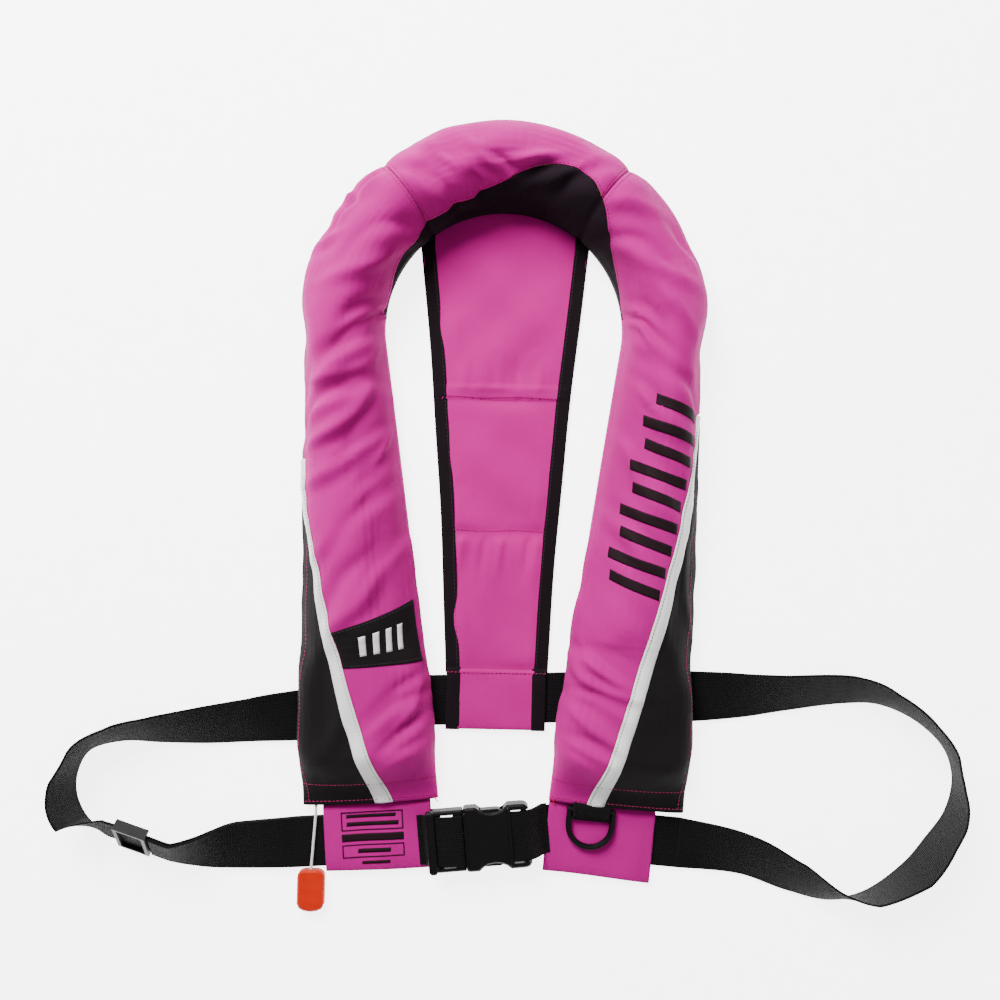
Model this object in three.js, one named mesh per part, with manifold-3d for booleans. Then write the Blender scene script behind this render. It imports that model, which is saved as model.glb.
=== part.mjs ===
// Inflatable life jacket, laid out flat on its back: a horseshoe cover of two lobes and a collar, with the
// folded bladder and its inflator inside, a cloth back panel, and a 40 mm waist belt with a side-release
// buckle. Millimetres. X runs across the chest, Y from the hem to the collar, Z up from the floor.
import * as THREE from 'three';
import { mergeVertices } from 'three/addons/utils/BufferGeometryUtils.js';
import Module from 'manifold-3d';

const wasm = await Module();
wasm.setup();

// ---------------------------------------------------------------- driving dimensions
const GAP = 0.3;                    // running gap between pieces that touch
const FABRIC = 1.2;                 // cover and lining cloth, with its turned seams
const WEBBING_WIDTH = 40;
const WEBBING = 1.8;                // webbing thickness

const COLLAR_RADIUS = 125;          // centreline of the collar, seen from above
const COLLAR_CENTRE_Y = 134;
const LEG_LEAN = THREE.MathUtils.degToRad(4.26);
const HEM_Y = -241;                 // lower end of both lobes
const HEM_HALF_WIDTH = 53.5;
const COLLAR_HALF_WIDTH = 31;
const LOBE_BASE_Z = 5.1;            // cover edge: back belt, lining and two gaps lie below it
const LOBE_HEIGHT = 37;
const COLLAR_HEIGHT = 54;
const HEM_HEIGHT = 7;               // the cover closes down to this at the hem
const HEM_TAPER = 45;               // length over which it does so
const COLLAR_SEAM = THREE.MathUtils.degToRad(38);  // each collar seam, from the middle of the neck
const PIPING_WIDTH = 10;
const PIPING = 1.2;

const PANEL_TOP_Y = 200;
const PANEL_TOP_HALF = 66;
const PANEL_BOTTOM_HALF = 39;
const BINDING_WIDTH = 11;
const BINDING = 0.6;

const BELT_ABOVE_HEM = 82;          // height of the back belt's middle above the hem
const LEFT_BELT_BELOW_HEM = 30;     // middle of the front belt below the hem, on the left
const RIGHT_BELT_BELOW_HEM = 25;
const SLEEVE_LENGTH = 85;
const LEFT_SLEEVE_DEPTH = 53;
const RIGHT_SLEEVE_DEPTH = 56;

const BUCKLE_LENGTH = 52;           // female body
const BUCKLE_WIDTH = 50;
const BUCKLE_THICK = 13;
const BUCKLE_WALL = 2.4;
const BUCKLE_TURN = THREE.MathUtils.degToRad(6);
const BUCKLE_Z = 14;                // middle of the buckle above the floor
const BAR_RADIUS = 2.3;             // webbing bars of both buckle halves

const CYLINDER_RADIUS = 12.5;
const CYLINDER_LENGTH = 112;
const CYLINDER_WALL = 2.2;
const ORIFICE_RADIUS = 2;
const ORAL_TUBE_RADIUS = 5;
const ORAL_TUBE_LENGTH = 80;
const CORD_DIAMETER = 2.2;
const TOGGLE_LENGTH = 35;
const TOGGLE_WIDTH = 21.5;
const TOGGLE_THICK = 9;
const D_RING_WIDTH = 39;
const D_RING_DROP = 31;
const D_RING_ROD = 4.6;

// ---------------------------------------------------------------- finishes
const finish = (color, roughness, metalness = 0) => new THREE.MeshStandardMaterial({ color, roughness, metalness });
const PINK = finish('#e8409f', 0.75);
const DARK_CLOTH = finish('#2a2229', 0.85);
const REFLECTIVE = finish('#cfcbc9', 0.35, 0.2);
const WEBBING_BLACK = finish('#232125', 0.8);
const BLACK_PLASTIC = finish('#1b181b', 0.45);
const CLEAR_FILM = finish('#e0b531', 0.5);
const ORANGE = finish('#ff4a08', 0.4);
const WHITE_CORD = finish('#e9e6e1', 0.8);
const GREY_METAL = finish('#8f9194', 0.35, 0.9);
const DARK_METAL = finish('#3a3a3d', 0.4, 0.7);

// ---------------------------------------------------------------- mesh helpers
const root = new THREE.Group();

function node(name, geometry, material, parent = root) {
  const mesh = new THREE.Mesh(geometry, material);
  mesh.name = name;
  parent.add(mesh);
  return mesh;
}

function signedVolume(points, index) {
  let volume = 0;
  for (let i = 0; i < index.length; i += 3) {
    const [a, b, c] = [points[index[i]], points[index[i + 1]], points[index[i + 2]]];
    volume += a.dot(new THREE.Vector3().crossVectors(b, c)) / 6;
  }
  return volume;
}

function closedMesh(points, index) {
  const faces = index.slice();
  if (signedVolume(points, faces) < 0) faces.reverse();
  const geometry = new THREE.BufferGeometry().setFromPoints(points);
  geometry.setIndex(faces);
  geometry.computeVertexNormals();
  return geometry;
}

// A cloth-like slab: place(a, b, side) gives a point for a and b in 0..1, on side 0 (under) or 1 (over).
function slab(columns, rows, place) {
  const points = [];
  for (const side of [0, 1]) {
    for (let i = 0; i <= columns; i++) {
      for (let j = 0; j <= rows; j++) points.push(place(i / columns, j / rows, side));
    }
  }
  const layer = (columns + 1) * (rows + 1);
  const at = (i, j, side) => side * layer + i * (rows + 1) + j;
  const index = [];
  const quad = (a, b, c, d) => index.push(a, b, c, a, c, d);
  for (let i = 0; i < columns; i++) {
    for (let j = 0; j < rows; j++) {
      quad(at(i, j, 1), at(i + 1, j, 1), at(i + 1, j + 1, 1), at(i, j + 1, 1));
      quad(at(i, j, 0), at(i, j + 1, 0), at(i + 1, j + 1, 0), at(i + 1, j, 0));
    }
    quad(at(i, 0, 0), at(i + 1, 0, 0), at(i + 1, 0, 1), at(i, 0, 1));
    quad(at(i, rows, 1), at(i + 1, rows, 1), at(i + 1, rows, 0), at(i, rows, 0));
  }
  for (let j = 0; j < rows; j++) {
    quad(at(0, j, 1), at(0, j + 1, 1), at(0, j + 1, 0), at(0, j, 0));
    quad(at(columns, j, 0), at(columns, j + 1, 0), at(columns, j + 1, 1), at(columns, j, 1));
  }
  return closedMesh(points, index);
}

function toSolid(geometry) {
  let plain = geometry.clone();
  plain.deleteAttribute('normal');
  plain.deleteAttribute('uv');
  plain = mergeVertices(plain, 1e-4);
  const vertProperties = new Float32Array(plain.attributes.position.array);
  return new wasm.Manifold(new wasm.Mesh({ numProp: 3, vertProperties, triVerts: new Uint32Array(plain.index.array) }));
}

function fromSolid(solid) {
  const mesh = solid.getMesh();
  const geometry = new THREE.BufferGeometry();
  geometry.setAttribute('position', new THREE.BufferAttribute(new Float32Array(mesh.vertProperties), 3));
  geometry.setIndex(Array.from(mesh.triVerts));
  geometry.computeVertexNormals();
  return geometry;
}

const join = (...parts) => fromSolid(parts.map(toSolid).reduce((a, b) => a.add(b)));
const cut = (body, ...tools) => fromSolid(tools.map(toSolid).reduce((a, b) => a.subtract(b), toSolid(body)));

function box(x0, x1, y0, y1, z0, z1) {
  return new THREE.BoxGeometry(x1 - x0, y1 - y0, z1 - z0).translate((x0 + x1) / 2, (y0 + y1) / 2, (z0 + z1) / 2);
}

// A rod between two values on one axis ('x', 'y' or 'z'), centred on the other two coordinates.
function rod(axis, from, to, radius, centre, sides = 20) {
  const geometry = new THREE.CylinderGeometry(radius, radius, to - from, sides);
  if (axis === 'x') geometry.rotateZ(-Math.PI / 2);
  if (axis === 'z') geometry.rotateX(Math.PI / 2);
  const middle = (from + to) / 2;
  const place = { x: [middle, centre[0], centre[1]], y: [centre[0], middle, centre[1]], z: [...centre, middle] }[axis];
  return geometry.translate(...place);
}

// A turned piece about the Y axis: profile points are [radius, y].
function turned(profile, x, z, sides = 20) {
  const points = profile.map(([r, y]) => new THREE.Vector2(r, y));
  return new THREE.LatheGeometry(points, sides).translate(x, 0, z);
}

function plate(shape, depth, bevel = 0, curveSegments = 8) {
  const settings = { depth: depth - 2 * bevel, bevelEnabled: bevel > 0, bevelThickness: bevel, bevelSize: bevel,
    bevelOffset: -bevel, bevelSegments: 1, curveSegments };
  return new THREE.ExtrudeGeometry(shape, settings).translate(0, 0, bevel);
}

function tubeAlong(points, diameter, steps, sides = 8) {
  const section = new THREE.Shape();
  for (let i = 0; i < sides; i++) {
    const angle = (2 * Math.PI * i) / sides;
    const [x, y] = [Math.cos(angle) * diameter / 2, Math.sin(angle) * diameter / 2];
    if (i === 0) section.moveTo(x, y);
    else section.lineTo(x, y);
  }
  const path = new THREE.CatmullRomCurve3(points.map((p) => new THREE.Vector3(...p)));
  return new THREE.ExtrudeGeometry(section, { steps, extrudePath: path, bevelEnabled: false });
}

// ---------------------------------------------------------------- the horseshoe
const legTop = new THREE.Vector2(COLLAR_RADIUS * Math.cos(LEG_LEAN),
  COLLAR_CENTRE_Y - COLLAR_RADIUS * Math.sin(LEG_LEAN));
const LEG_LENGTH = (legTop.y - HEM_Y) / Math.cos(LEG_LEAN);
const ARC_ANGLE = Math.PI + 2 * LEG_LEAN;
const SPINE_LENGTH = 2 * LEG_LENGTH + COLLAR_RADIUS * ARC_ANGLE;
const SEAM_S = SPINE_LENGTH / 2 - COLLAR_RADIUS * COLLAR_SEAM;   // left collar seam along the spine
const legX = (y) => legTop.x - (legTop.y - y) * Math.tan(LEG_LEAN);
const legS = (y) => (y - HEM_Y) / Math.cos(LEG_LEAN);

// The spine runs from the left hem, round the neck, to the right hem; s is the distance along it.
function spine(s) {
  const half = SPINE_LENGTH / 2;
  const mirrored = s > half;
  const d = mirrored ? SPINE_LENGTH - s : s;
  let x;
  let y;
  let out;
  if (d < LEG_LENGTH) {
    y = HEM_Y + d * Math.cos(LEG_LEAN);
    x = -legX(y);
    out = new THREE.Vector2(-Math.cos(LEG_LEAN), Math.sin(LEG_LEAN) * -1);
  } else {
    const angle = Math.PI + LEG_LEAN - (d - LEG_LENGTH) / COLLAR_RADIUS;
    out = new THREE.Vector2(Math.cos(angle), Math.sin(angle));
    x = COLLAR_RADIUS * out.x;
    y = COLLAR_CENTRE_Y + COLLAR_RADIUS * out.y;
  }
  const sign = mirrored ? -1 : 1;
  return { x: x * sign, y, out: new THREE.Vector2(out.x * sign, out.y), fromHem: d };
}

function halfWidth(fromHem) {
  const t = Math.min(1, fromHem / LEG_LENGTH);
  return THREE.MathUtils.lerp(HEM_HALF_WIDTH, COLLAR_HALF_WIDTH, t ** 1.2);
}

function coverHeight(fromHem) {
  const rise = THREE.MathUtils.smoothstep(fromHem, 0.55 * LEG_LENGTH, SPINE_LENGTH / 2);
  const full = THREE.MathUtils.lerp(LOBE_HEIGHT, COLLAR_HEIGHT, rise);
  return THREE.MathUtils.lerp(HEM_HEIGHT, full, THREE.MathUtils.smoothstep(fromHem, 0, HEM_TAPER));
}

// A point on the cover: angle 0 is the outer edge, PI the inner edge; lift is the distance off the cloth's inside.
function onCover(s, angle, lift) {
  const at = spine(s);
  const w = halfWidth(at.fromHem) - FABRIC;
  const h = coverHeight(at.fromHem) - FABRIC;
  const normal = new THREE.Vector2(Math.cos(angle) / w, Math.sin(angle) / h).normalize();
  const across = w * Math.cos(angle) + lift * normal.x;
  const up = h * Math.sin(angle) + lift * normal.y;
  return new THREE.Vector3(at.x + across * at.out.x, at.y + across * at.out.y, LOBE_BASE_Z + up);
}

function flatAcross(s, across, z) {
  const at = spine(s);
  return new THREE.Vector3(at.x + across * at.out.x, at.y + across * at.out.y, z);
}

// Angle on the cover that lies a given share of the half width out from the spine.
const angleAt = (share) => Math.acos(THREE.MathUtils.clamp(share, -1, 1));
const halfAngle = (s, width) => width / 2 / (coverHeight(spine(s).fromHem) * 0.35 + halfWidth(spine(s).fromHem) * 0.65);

// Where the reflective piping crosses the lobe: from the outer edge at its top, inward to the hem.
const LEFT_PIPING_TOP_Y = 32;
const RIGHT_PIPING_TOP_Y = 72;
const LEFT_PIPING_HEM_SHARE = -0.22;
const RIGHT_PIPING_HEM_SHARE = -0.33;
const LEFT_PIPING_SWEEP = 1.26;       // 1 crosses the lobe evenly, more hugs the outer edge for longer
const RIGHT_PIPING_SWEEP = 1.05;
const PIPING_START_SHARE = 0.96;

function pipingAngle(s, lobe) {
  const t = THREE.MathUtils.clamp(1 - spine(s).fromHem / legS(lobe.topY), 0, 1);
  return angleAt(THREE.MathUtils.lerp(PIPING_START_SHARE, lobe.hemShare, t ** lobe.sweep));
}

const LEFT = { side: -1, name: 'left', topY: LEFT_PIPING_TOP_Y, hemShare: LEFT_PIPING_HEM_SHARE,
  sweep: LEFT_PIPING_SWEEP };
const RIGHT = { side: 1, name: 'right', topY: RIGHT_PIPING_TOP_Y, hemShare: RIGHT_PIPING_HEM_SHARE,
  sweep: RIGHT_PIPING_SWEEP };
const along = (lobe, fromHem) => (lobe.side < 0 ? fromHem : SPINE_LENGTH - fromHem);

function pinkEdge(lobe, s) {
  return pipingAngle(s, lobe) + halfAngle(s, 2 * GAP);
}

// The cover's cross sections: the same ones as the side panel's up to its top, then on to the collar seam.
const PANEL_STEPS = 16;
const SHOULDER_STEPS = 10;

function lobeCover(lobe) {
  const top = legS(lobe.topY);
  const steps = PANEL_STEPS + SHOULDER_STEPS;
  return slab(steps, 9, (a, b, side) => {
    const past = a * steps - PANEL_STEPS;
    const fromHem = past <= 0 ? (a * steps / PANEL_STEPS) * top
      : THREE.MathUtils.lerp(top, SEAM_S - GAP, past / SHOULDER_STEPS);
    const s = along(lobe, fromHem);
    const from = past <= 0 ? pinkEdge(lobe, s) : 0;
    return onCover(s, THREE.MathUtils.lerp(from, coverInnerEdge(s), b), side * FABRIC);
  });
}

function sidePanel(lobe) {
  const length = legS(lobe.topY) - GAP;
  return slab(PANEL_STEPS, 5, (a, b, side) => {
    const s = along(lobe, a * length);
    const to = pipingAngle(s, lobe) - halfAngle(s, GAP);
    return onCover(s, THREE.MathUtils.lerp(0, to, b), side * FABRIC);
  });
}

function piping(lobe) {
  const length = legS(lobe.topY) - GAP;
  return slab(PANEL_STEPS, 4, (a, b, side) => {
    const s = along(lobe, a * length);
    const middle = pipingAngle(s, lobe);
    const reach = Math.min(halfAngle(s, PIPING_WIDTH), middle - 0.03);
    return onCover(s, middle + (b * 2 - 1) * reach, FABRIC + 2 * GAP + side * PIPING);
  });
}

// The black neck lining climbs from the inner edge beside the neck to the crest of the collar.
const NECK_LINING_START = COLLAR_RADIUS * THREE.MathUtils.degToRad(84);   // from the middle of the neck
const NECK_LINING_END_SHARE = -0.99;  // where its seam runs across the cover: 1 outer edge, -1 inner edge
// The seam rises over the right of the neck and a little over the left: degrees round it, spread and rise.
const NECK_LINING_CREST = { at: 25, wide: 17, share: 0.97 };
const NECK_LINING_SHOULDER = { at: -28, wide: 18, share: 0.2 };

const LINING_SEAM = 4;                // twice the cover's set-back from the lining
const NECK_LINING_LEAD = 20;          // the cover has already drawn back this far before the lining starts

function coverInnerEdge(s) {
  const beside = Math.abs(s - SPINE_LENGTH / 2) < NECK_LINING_START + NECK_LINING_LEAD;
  return beside ? liningEdge(s) - halfAngle(s, LINING_SEAM) : Math.PI;
}

function liningEdge(s) {
  const turn = THREE.MathUtils.radToDeg((s - SPINE_LENGTH / 2) / COLLAR_RADIUS);
  const rise = ({ at, wide, share }) => share * Math.exp(-0.5 * ((turn - at) / wide) ** 2);
  return angleAt(NECK_LINING_END_SHARE + rise(NECK_LINING_CREST) + rise(NECK_LINING_SHOULDER));
}

function collarCover() {
  return slab(20, 9, (a, b, side) => {
    const s = THREE.MathUtils.lerp(SEAM_S + GAP / 2, SPINE_LENGTH - SEAM_S - GAP / 2, a);
    return onCover(s, THREE.MathUtils.lerp(0, coverInnerEdge(s), b), side * FABRIC);
  });
}

function neckLining() {
  return slab(36, 4, (a, b, side) => {
    const s = SPINE_LENGTH / 2 + (a * 2 - 1) * (NECK_LINING_START - 0.5);
    return onCover(s, THREE.MathUtils.lerp(liningEdge(s), Math.PI, b), side * FABRIC);
  });
}

const LINING_TOP = LOBE_BASE_Z - GAP;

function lining(from, to) {
  return slab(18, 2, (a, b, side) => {
    const s = THREE.MathUtils.lerp(from, to, a);
    const across = halfWidth(spine(s).fromHem) * (b * 2 - 1);
    return flatAcross(s, across, LINING_TOP - FABRIC + side * FABRIC);
  });
}

function horseshoe() {
  for (const lobe of [LEFT, RIGHT]) {
    node(`cover_${lobe.name}`, lobeCover(lobe), PINK);
    node(`side_panel_${lobe.name}`, sidePanel(lobe), DARK_CLOTH);
    node(`piping_${lobe.name}`, piping(lobe), REFLECTIVE);
  }
  node('cover_collar', collarCover(), PINK);
  node('neck_lining', neckLining(), DARK_CLOTH);
  node('lining_left', lining(0, SEAM_S - GAP / 2), DARK_CLOTH);
  node('lining_collar', lining(SEAM_S + GAP / 2, SPINE_LENGTH - SEAM_S - GAP / 2), DARK_CLOTH);
  node('lining_right', lining(SPINE_LENGTH - SEAM_S + GAP / 2, SPINE_LENGTH), DARK_CLOTH);
}

// Sewn patch across the pink of the left lobe, a little slanted.
const PATCH_ABOVE_HEM = 130;
const PATCH_HEIGHT = 38;
const PATCH_SLANT = 20;

function ratingPatch() {
  return slab(6, 10, (a, b, side) => {
    const s = legS(HEM_Y + PATCH_ABOVE_HEM) + (a - 0.5) * PATCH_HEIGHT + (b - 0.5) * PATCH_SLANT * a;
    const from = pinkEdge(LEFT, s) + halfAngle(s, PIPING_WIDTH + 2 * GAP);
    return onCover(s, THREE.MathUtils.lerp(from, angleAt(-0.93), b), FABRIC + 3 * GAP + side * FABRIC / 2);
  });
}

// ---------------------------------------------------------------- inside the cover
const BLADDER_HEM_CLEAR = 44;
const BLADDER_INNER_SHARE = -0.88;
const BLADDER_NARROW_SHARE = -0.42;   // beside the inflator or the oral tube
const BLADDER_WIDE_SHARE = 0.8;
const INFLATOR_Y = HEM_Y + 53;        // middle of the inflator body
const INFLATOR_BODY = { width: 26, length: 38, height: 24, z: 6 };
const CYLINDER_X = -legX(INFLATOR_Y) - 5;
const CYLINDER_Z = INFLATOR_BODY.z + INFLATOR_BODY.height / 2;
const INFLATOR_TOP_Y = INFLATOR_Y + INFLATOR_BODY.length / 2;
const BLADDER_STEP_Y = INFLATOR_TOP_Y + CYLINDER_LENGTH + 6;   // above it the bladder is full width
const BLADDER_TOP_CLEAR = 3.4;

function bladder() {
  const step = legS(BLADDER_STEP_Y);
  const sections = [];
  for (let i = 0; i <= 8; i++) sections.push([THREE.MathUtils.lerp(BLADDER_HEM_CLEAR, step, i / 8), BLADDER_NARROW_SHARE]);
  for (let i = 0; i < 16; i++) sections.push([THREE.MathUtils.lerp(step + 1, SPINE_LENGTH / 2, i / 16), BLADDER_WIDE_SHARE]);
  const mirrored = sections.map(([s, outer]) => [SPINE_LENGTH - s, outer]).reverse();
  const all = [...sections, ...mirrored];
  return slab(all.length - 1, 7, (a, b, side) => {
    const [s, outer] = all[Math.round(a * (all.length - 1))];
    const fromHem = spine(s).fromHem;
    const share = THREE.MathUtils.lerp(outer, BLADDER_INNER_SHARE, b);
    const w = halfWidth(fromHem) - 2 * FABRIC;
    const ceiling = (coverHeight(fromHem) - FABRIC) * Math.sqrt(1 - share * share) - BLADDER_TOP_CLEAR;
    const z = side === 0 ? LOBE_BASE_Z + GAP : LOBE_BASE_Z + Math.max(ceiling, 3);
    return flatAcross(s, w * share, z);
  });
}

// Hook-and-loop closure down the outer edge of each lobe: the hook strip on the lining, the loop strip on the cover.
const STRIP_WIDTH = 18;
const STRIP_TOP_Y = BLADDER_STEP_Y - 8;

function closureStrip(lobe, z) {
  return slab(10, 1, (a, b, side) => {
    const s = along(lobe, THREE.MathUtils.lerp(HEM_TAPER + 5, legS(STRIP_TOP_Y), a));
    const outer = halfWidth(spine(s).fromHem) - 5.5;
    return flatAcross(s, outer - b * STRIP_WIDTH, z + side * FABRIC);
  });
}

const STEM_Y = INFLATOR_Y - INFLATOR_BODY.length / 2 + 8;
const STEM_RADIUS = 4;
const FLANGE_RADIUS = 11;
const PIN_BORE_RADIUS = 2.4;
const NECK_RADIUS = 6.5;
const NECK_DEPTH = 12;
const FIRING_PIN_LENGTH = 9;
const LEVER_LENGTH = 18;
const LEVER_PIN_RADIUS = 1.5;
const LEVER_HUB_RADIUS = 4.5;
const LEVER_Y = INFLATOR_Y + 4;
const LEVER_X = CYLINDER_X - INFLATOR_BODY.width / 2 - LEVER_HUB_RADIUS - 1;
const LEVER_Z = [CYLINDER_Z - 3, CYLINDER_Z + 3];
const EAR = 2.2;

function inflatorBody() {
  const { width, length, height, z } = INFLATOR_BODY;
  const [x0, x1] = [CYLINDER_X - width / 2, CYLINDER_X + width / 2];
  const block = box(x0, x1, INFLATOR_Y - length / 2, INFLATOR_TOP_Y, z, z + height);
  const ears = [LEVER_Z[0] - GAP - EAR, LEVER_Z[1] + GAP].map((low) =>
    box(LEVER_X - LEVER_HUB_RADIUS, x0 + 2, LEVER_Y - LEVER_HUB_RADIUS, LEVER_Y + LEVER_HUB_RADIUS, low, low + EAR));
  const solid = join(block, ...ears);
  return cut(solid,
    rod('y', INFLATOR_TOP_Y - NECK_DEPTH, INFLATOR_TOP_Y + 1, NECK_RADIUS + GAP, [CYLINDER_X, CYLINDER_Z]),
    rod('y', INFLATOR_TOP_Y - NECK_DEPTH - FIRING_PIN_LENGTH - 4, INFLATOR_TOP_Y, PIN_BORE_RADIUS,
      [CYLINDER_X, CYLINDER_Z]),
    rod('x', x0 - 1, x1 + 1, STEM_RADIUS + GAP, [STEM_Y, CYLINDER_Z]),
    rod('z', LEVER_Z[0] - EAR - 2, LEVER_Z[1] + EAR + 2, LEVER_PIN_RADIUS + GAP, [LEVER_X, LEVER_Y]));
}

function inflatorLever() {
  const [low, high] = LEVER_Z;
  const hub = rod('z', low, high, LEVER_HUB_RADIUS - 0.5, [LEVER_X, LEVER_Y]);
  const arm = box(LEVER_X - 3, LEVER_X + 1.5, LEVER_Y, LEVER_Y + LEVER_LENGTH, low + 0.5, high - 0.5);
  const pinHole = rod('z', low - 1, high + 1, LEVER_PIN_RADIUS + GAP, [LEVER_X, LEVER_Y], 16);
  const cordHole = rod('z', low - 1, high + 1, CORD_DIAMETER / 2 + GAP, [LEVER_X - 0.75, LEVER_Y + LEVER_LENGTH - 3], 12);
  return cut(join(hub, arm), pinHole, cordHole);
}

function gasCylinder() {
  const base = INFLATOR_TOP_Y - NECK_DEPTH + GAP;
  const shoulder = INFLATOR_TOP_Y + 1;
  const end = INFLATOR_TOP_Y + CYLINDER_LENGTH;
  const hollow = CYLINDER_RADIUS - CYLINDER_WALL;
  const profile = [[0, end - CYLINDER_WALL], [hollow, end - 10], [hollow, shoulder + 14], [ORIFICE_RADIUS, shoulder + 2],
    [ORIFICE_RADIUS, base], [NECK_RADIUS, base], [NECK_RADIUS, shoulder]];
  for (let i = 0; i <= 4; i++) {
    const angle = (Math.PI / 2) * (i / 4);
    profile.push([NECK_RADIUS + 0.5 + (CYLINDER_RADIUS - NECK_RADIUS - 0.5) * Math.sin(angle),
      shoulder + 11 * (1 - Math.cos(angle))]);
  }
  for (let i = 0; i < 5; i++) {
    const angle = (Math.PI / 2) * (i / 5);
    profile.push([CYLINDER_RADIUS * Math.cos(angle), end - 9 + 9 * Math.sin(angle)]);
  }
  profile.push([0, end]);
  return turned(profile, CYLINDER_X, CYLINDER_Z, 24);
}

function firingPin() {
  const tip = INFLATOR_TOP_Y - NECK_DEPTH - 3;
  const radius = PIN_BORE_RADIUS - GAP;
  const profile = [[0, tip - FIRING_PIN_LENGTH], [radius, tip - FIRING_PIN_LENGTH], [radius, tip - 3], [0, tip]];
  return turned(profile, CYLINDER_X, CYLINDER_Z, 16);
}

function ring(axis, from, to, outer, inner, centre, sides = 20) {
  return cut(rod(axis, from, to, outer, centre, sides), rod(axis, from - 1, to + 1, inner, centre, sides));
}

function inflatorSet() {
  const bodyInner = CYLINDER_X + INFLATOR_BODY.width / 2;
  const bodyOuter = CYLINDER_X - INFLATOR_BODY.width / 2;
  const flangeX = -legX(STEM_Y) + bladderEdgeOffset() - GAP - FLANGE_RADIUS * Math.sin(LEG_LEAN);
  node('inflator_body', inflatorBody(), BLACK_PLASTIC);
  node('inflator_lever', inflatorLever(), ORANGE);
  node('lever_pin', rod('z', LEVER_Z[0] - EAR, LEVER_Z[1] + EAR, LEVER_PIN_RADIUS, [LEVER_X, LEVER_Y], 16), GREY_METAL);
  node('firing_pin', firingPin(), GREY_METAL);
  node('gas_cylinder', gasCylinder(), GREY_METAL);
  const stem = join(rod('x', bodyOuter - 8, flangeX, STEM_RADIUS, [STEM_Y, CYLINDER_Z]),
    rod('x', flangeX - 2, flangeX, FLANGE_RADIUS, [STEM_Y, CYLINDER_Z], 24));
  node('manifold_stem', stem, BLACK_PLASTIC);
  node('manifold_gasket', ring('x', bodyInner + GAP, flangeX - 2 - GAP, 8, STEM_RADIUS + GAP,
    [STEM_Y, CYLINDER_Z]), DARK_CLOTH);
  const nut = rod('x', bodyOuter - GAP - 6, bodyOuter - GAP, 7.5, [STEM_Y, CYLINDER_Z], 6);
  node('manifold_nut', cut(nut, rod('x', bodyOuter - 8, bodyOuter, STEM_RADIUS + GAP, [STEM_Y, CYLINDER_Z])), DARK_METAL);
}

// Distance from the leg's middle to the bladder's outer side at the inflator.
function bladderEdgeOffset() {
  const fromHem = legS(STEM_Y);
  return -BLADDER_NARROW_SHARE * (halfWidth(fromHem) - 2 * FABRIC);
}

const ORAL_X = legX(BLADDER_STEP_Y - 50) + 6;
const ORAL_Z = 15;
const ORAL_TOP_Y = BLADDER_STEP_Y - 0.5;
const ORAL_WALL = 1.4;
const VALVE_PLUG = 8;
const CAP_WALL = 1.6;

function oralInflation() {
  const low = ORAL_TOP_Y - ORAL_TUBE_LENGTH;
  const inner = ORAL_TUBE_RADIUS - ORAL_WALL;
  const tube = [[inner, low], [ORAL_TUBE_RADIUS, low], [ORAL_TUBE_RADIUS, ORAL_TOP_Y - 1.5], [9, ORAL_TOP_Y - 1.5],
    [9, ORAL_TOP_Y], [inner, ORAL_TOP_Y], [inner, low]];
  node('oral_tube', turned(tube, ORAL_X, ORAL_Z), BLACK_PLASTIC);
  const valveLow = low - GAP - 11;
  const valve = [[0, valveLow], [2.5, valveLow], [2.5, valveLow + 3], [ORAL_TUBE_RADIUS - 0.4, valveLow + 4],
    [ORAL_TUBE_RADIUS - 0.4, low - GAP], [inner - GAP, low - GAP], [inner - GAP, low + VALVE_PLUG],
    [0, low + VALVE_PLUG]];
  node('oral_valve', turned(valve, ORAL_X, ORAL_Z), GREY_METAL);
  const bore = ORAL_TUBE_RADIUS - 0.4 + GAP;
  const capTop = valveLow + 8;
  const cap = [[0, valveLow - GAP - 3], [bore + CAP_WALL, valveLow - GAP - 3], [bore + CAP_WALL, capTop],
    [bore, capTop], [bore, valveLow - GAP], [0, valveLow - GAP]];
  node('oral_cap', turned(cap, ORAL_X, ORAL_Z), ORANGE);
}

const WHISTLE = { length: 44, width: 17, height: 9, wall: 1.8 };
const WHISTLE_TOP_Y = HEM_Y + 74;

function whistleSet() {
  const { length, width, height, wall } = WHISTLE;
  const [x, z, top] = [ORAL_X + 3, LOBE_BASE_Z + GAP + 0.2, WHISTLE_TOP_Y];
  const shell = box(x - width / 2, x + width / 2, top - length, top - 8, z, z + height);
  const lug = rod('z', z, z + height, 5, [x, top - 5], 16);
  const chamber = box(x - width / 2 + wall, x + width / 2 - wall, top - length - 1, top - 14, z + wall, z + height - wall);
  const window = box(x - 4, x + 4, top - 26, top - 21, z + height - wall - 1, z + height + 1);
  const eye = rod('z', z - 1, z + height + 1, 2.2, [x, top - 4.5], 16);
  node('whistle', cut(join(shell, lug), chamber, window, eye), ORANGE);
  const route = [[x, top - 4.5, z + height + 1.2], [x + 3, top + 4, z + height], [x + 7.5, top + 16, z + 4],
    [ORAL_X + 9, top + 34, z + 4], [ORAL_X + 8, top + 52, z + 6], [ORAL_X + 6.6, top + 66, z + 9]];
  node('whistle_lanyard', tubeAlong(route, 1.6, 16, 6), WHITE_CORD);
}

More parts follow.
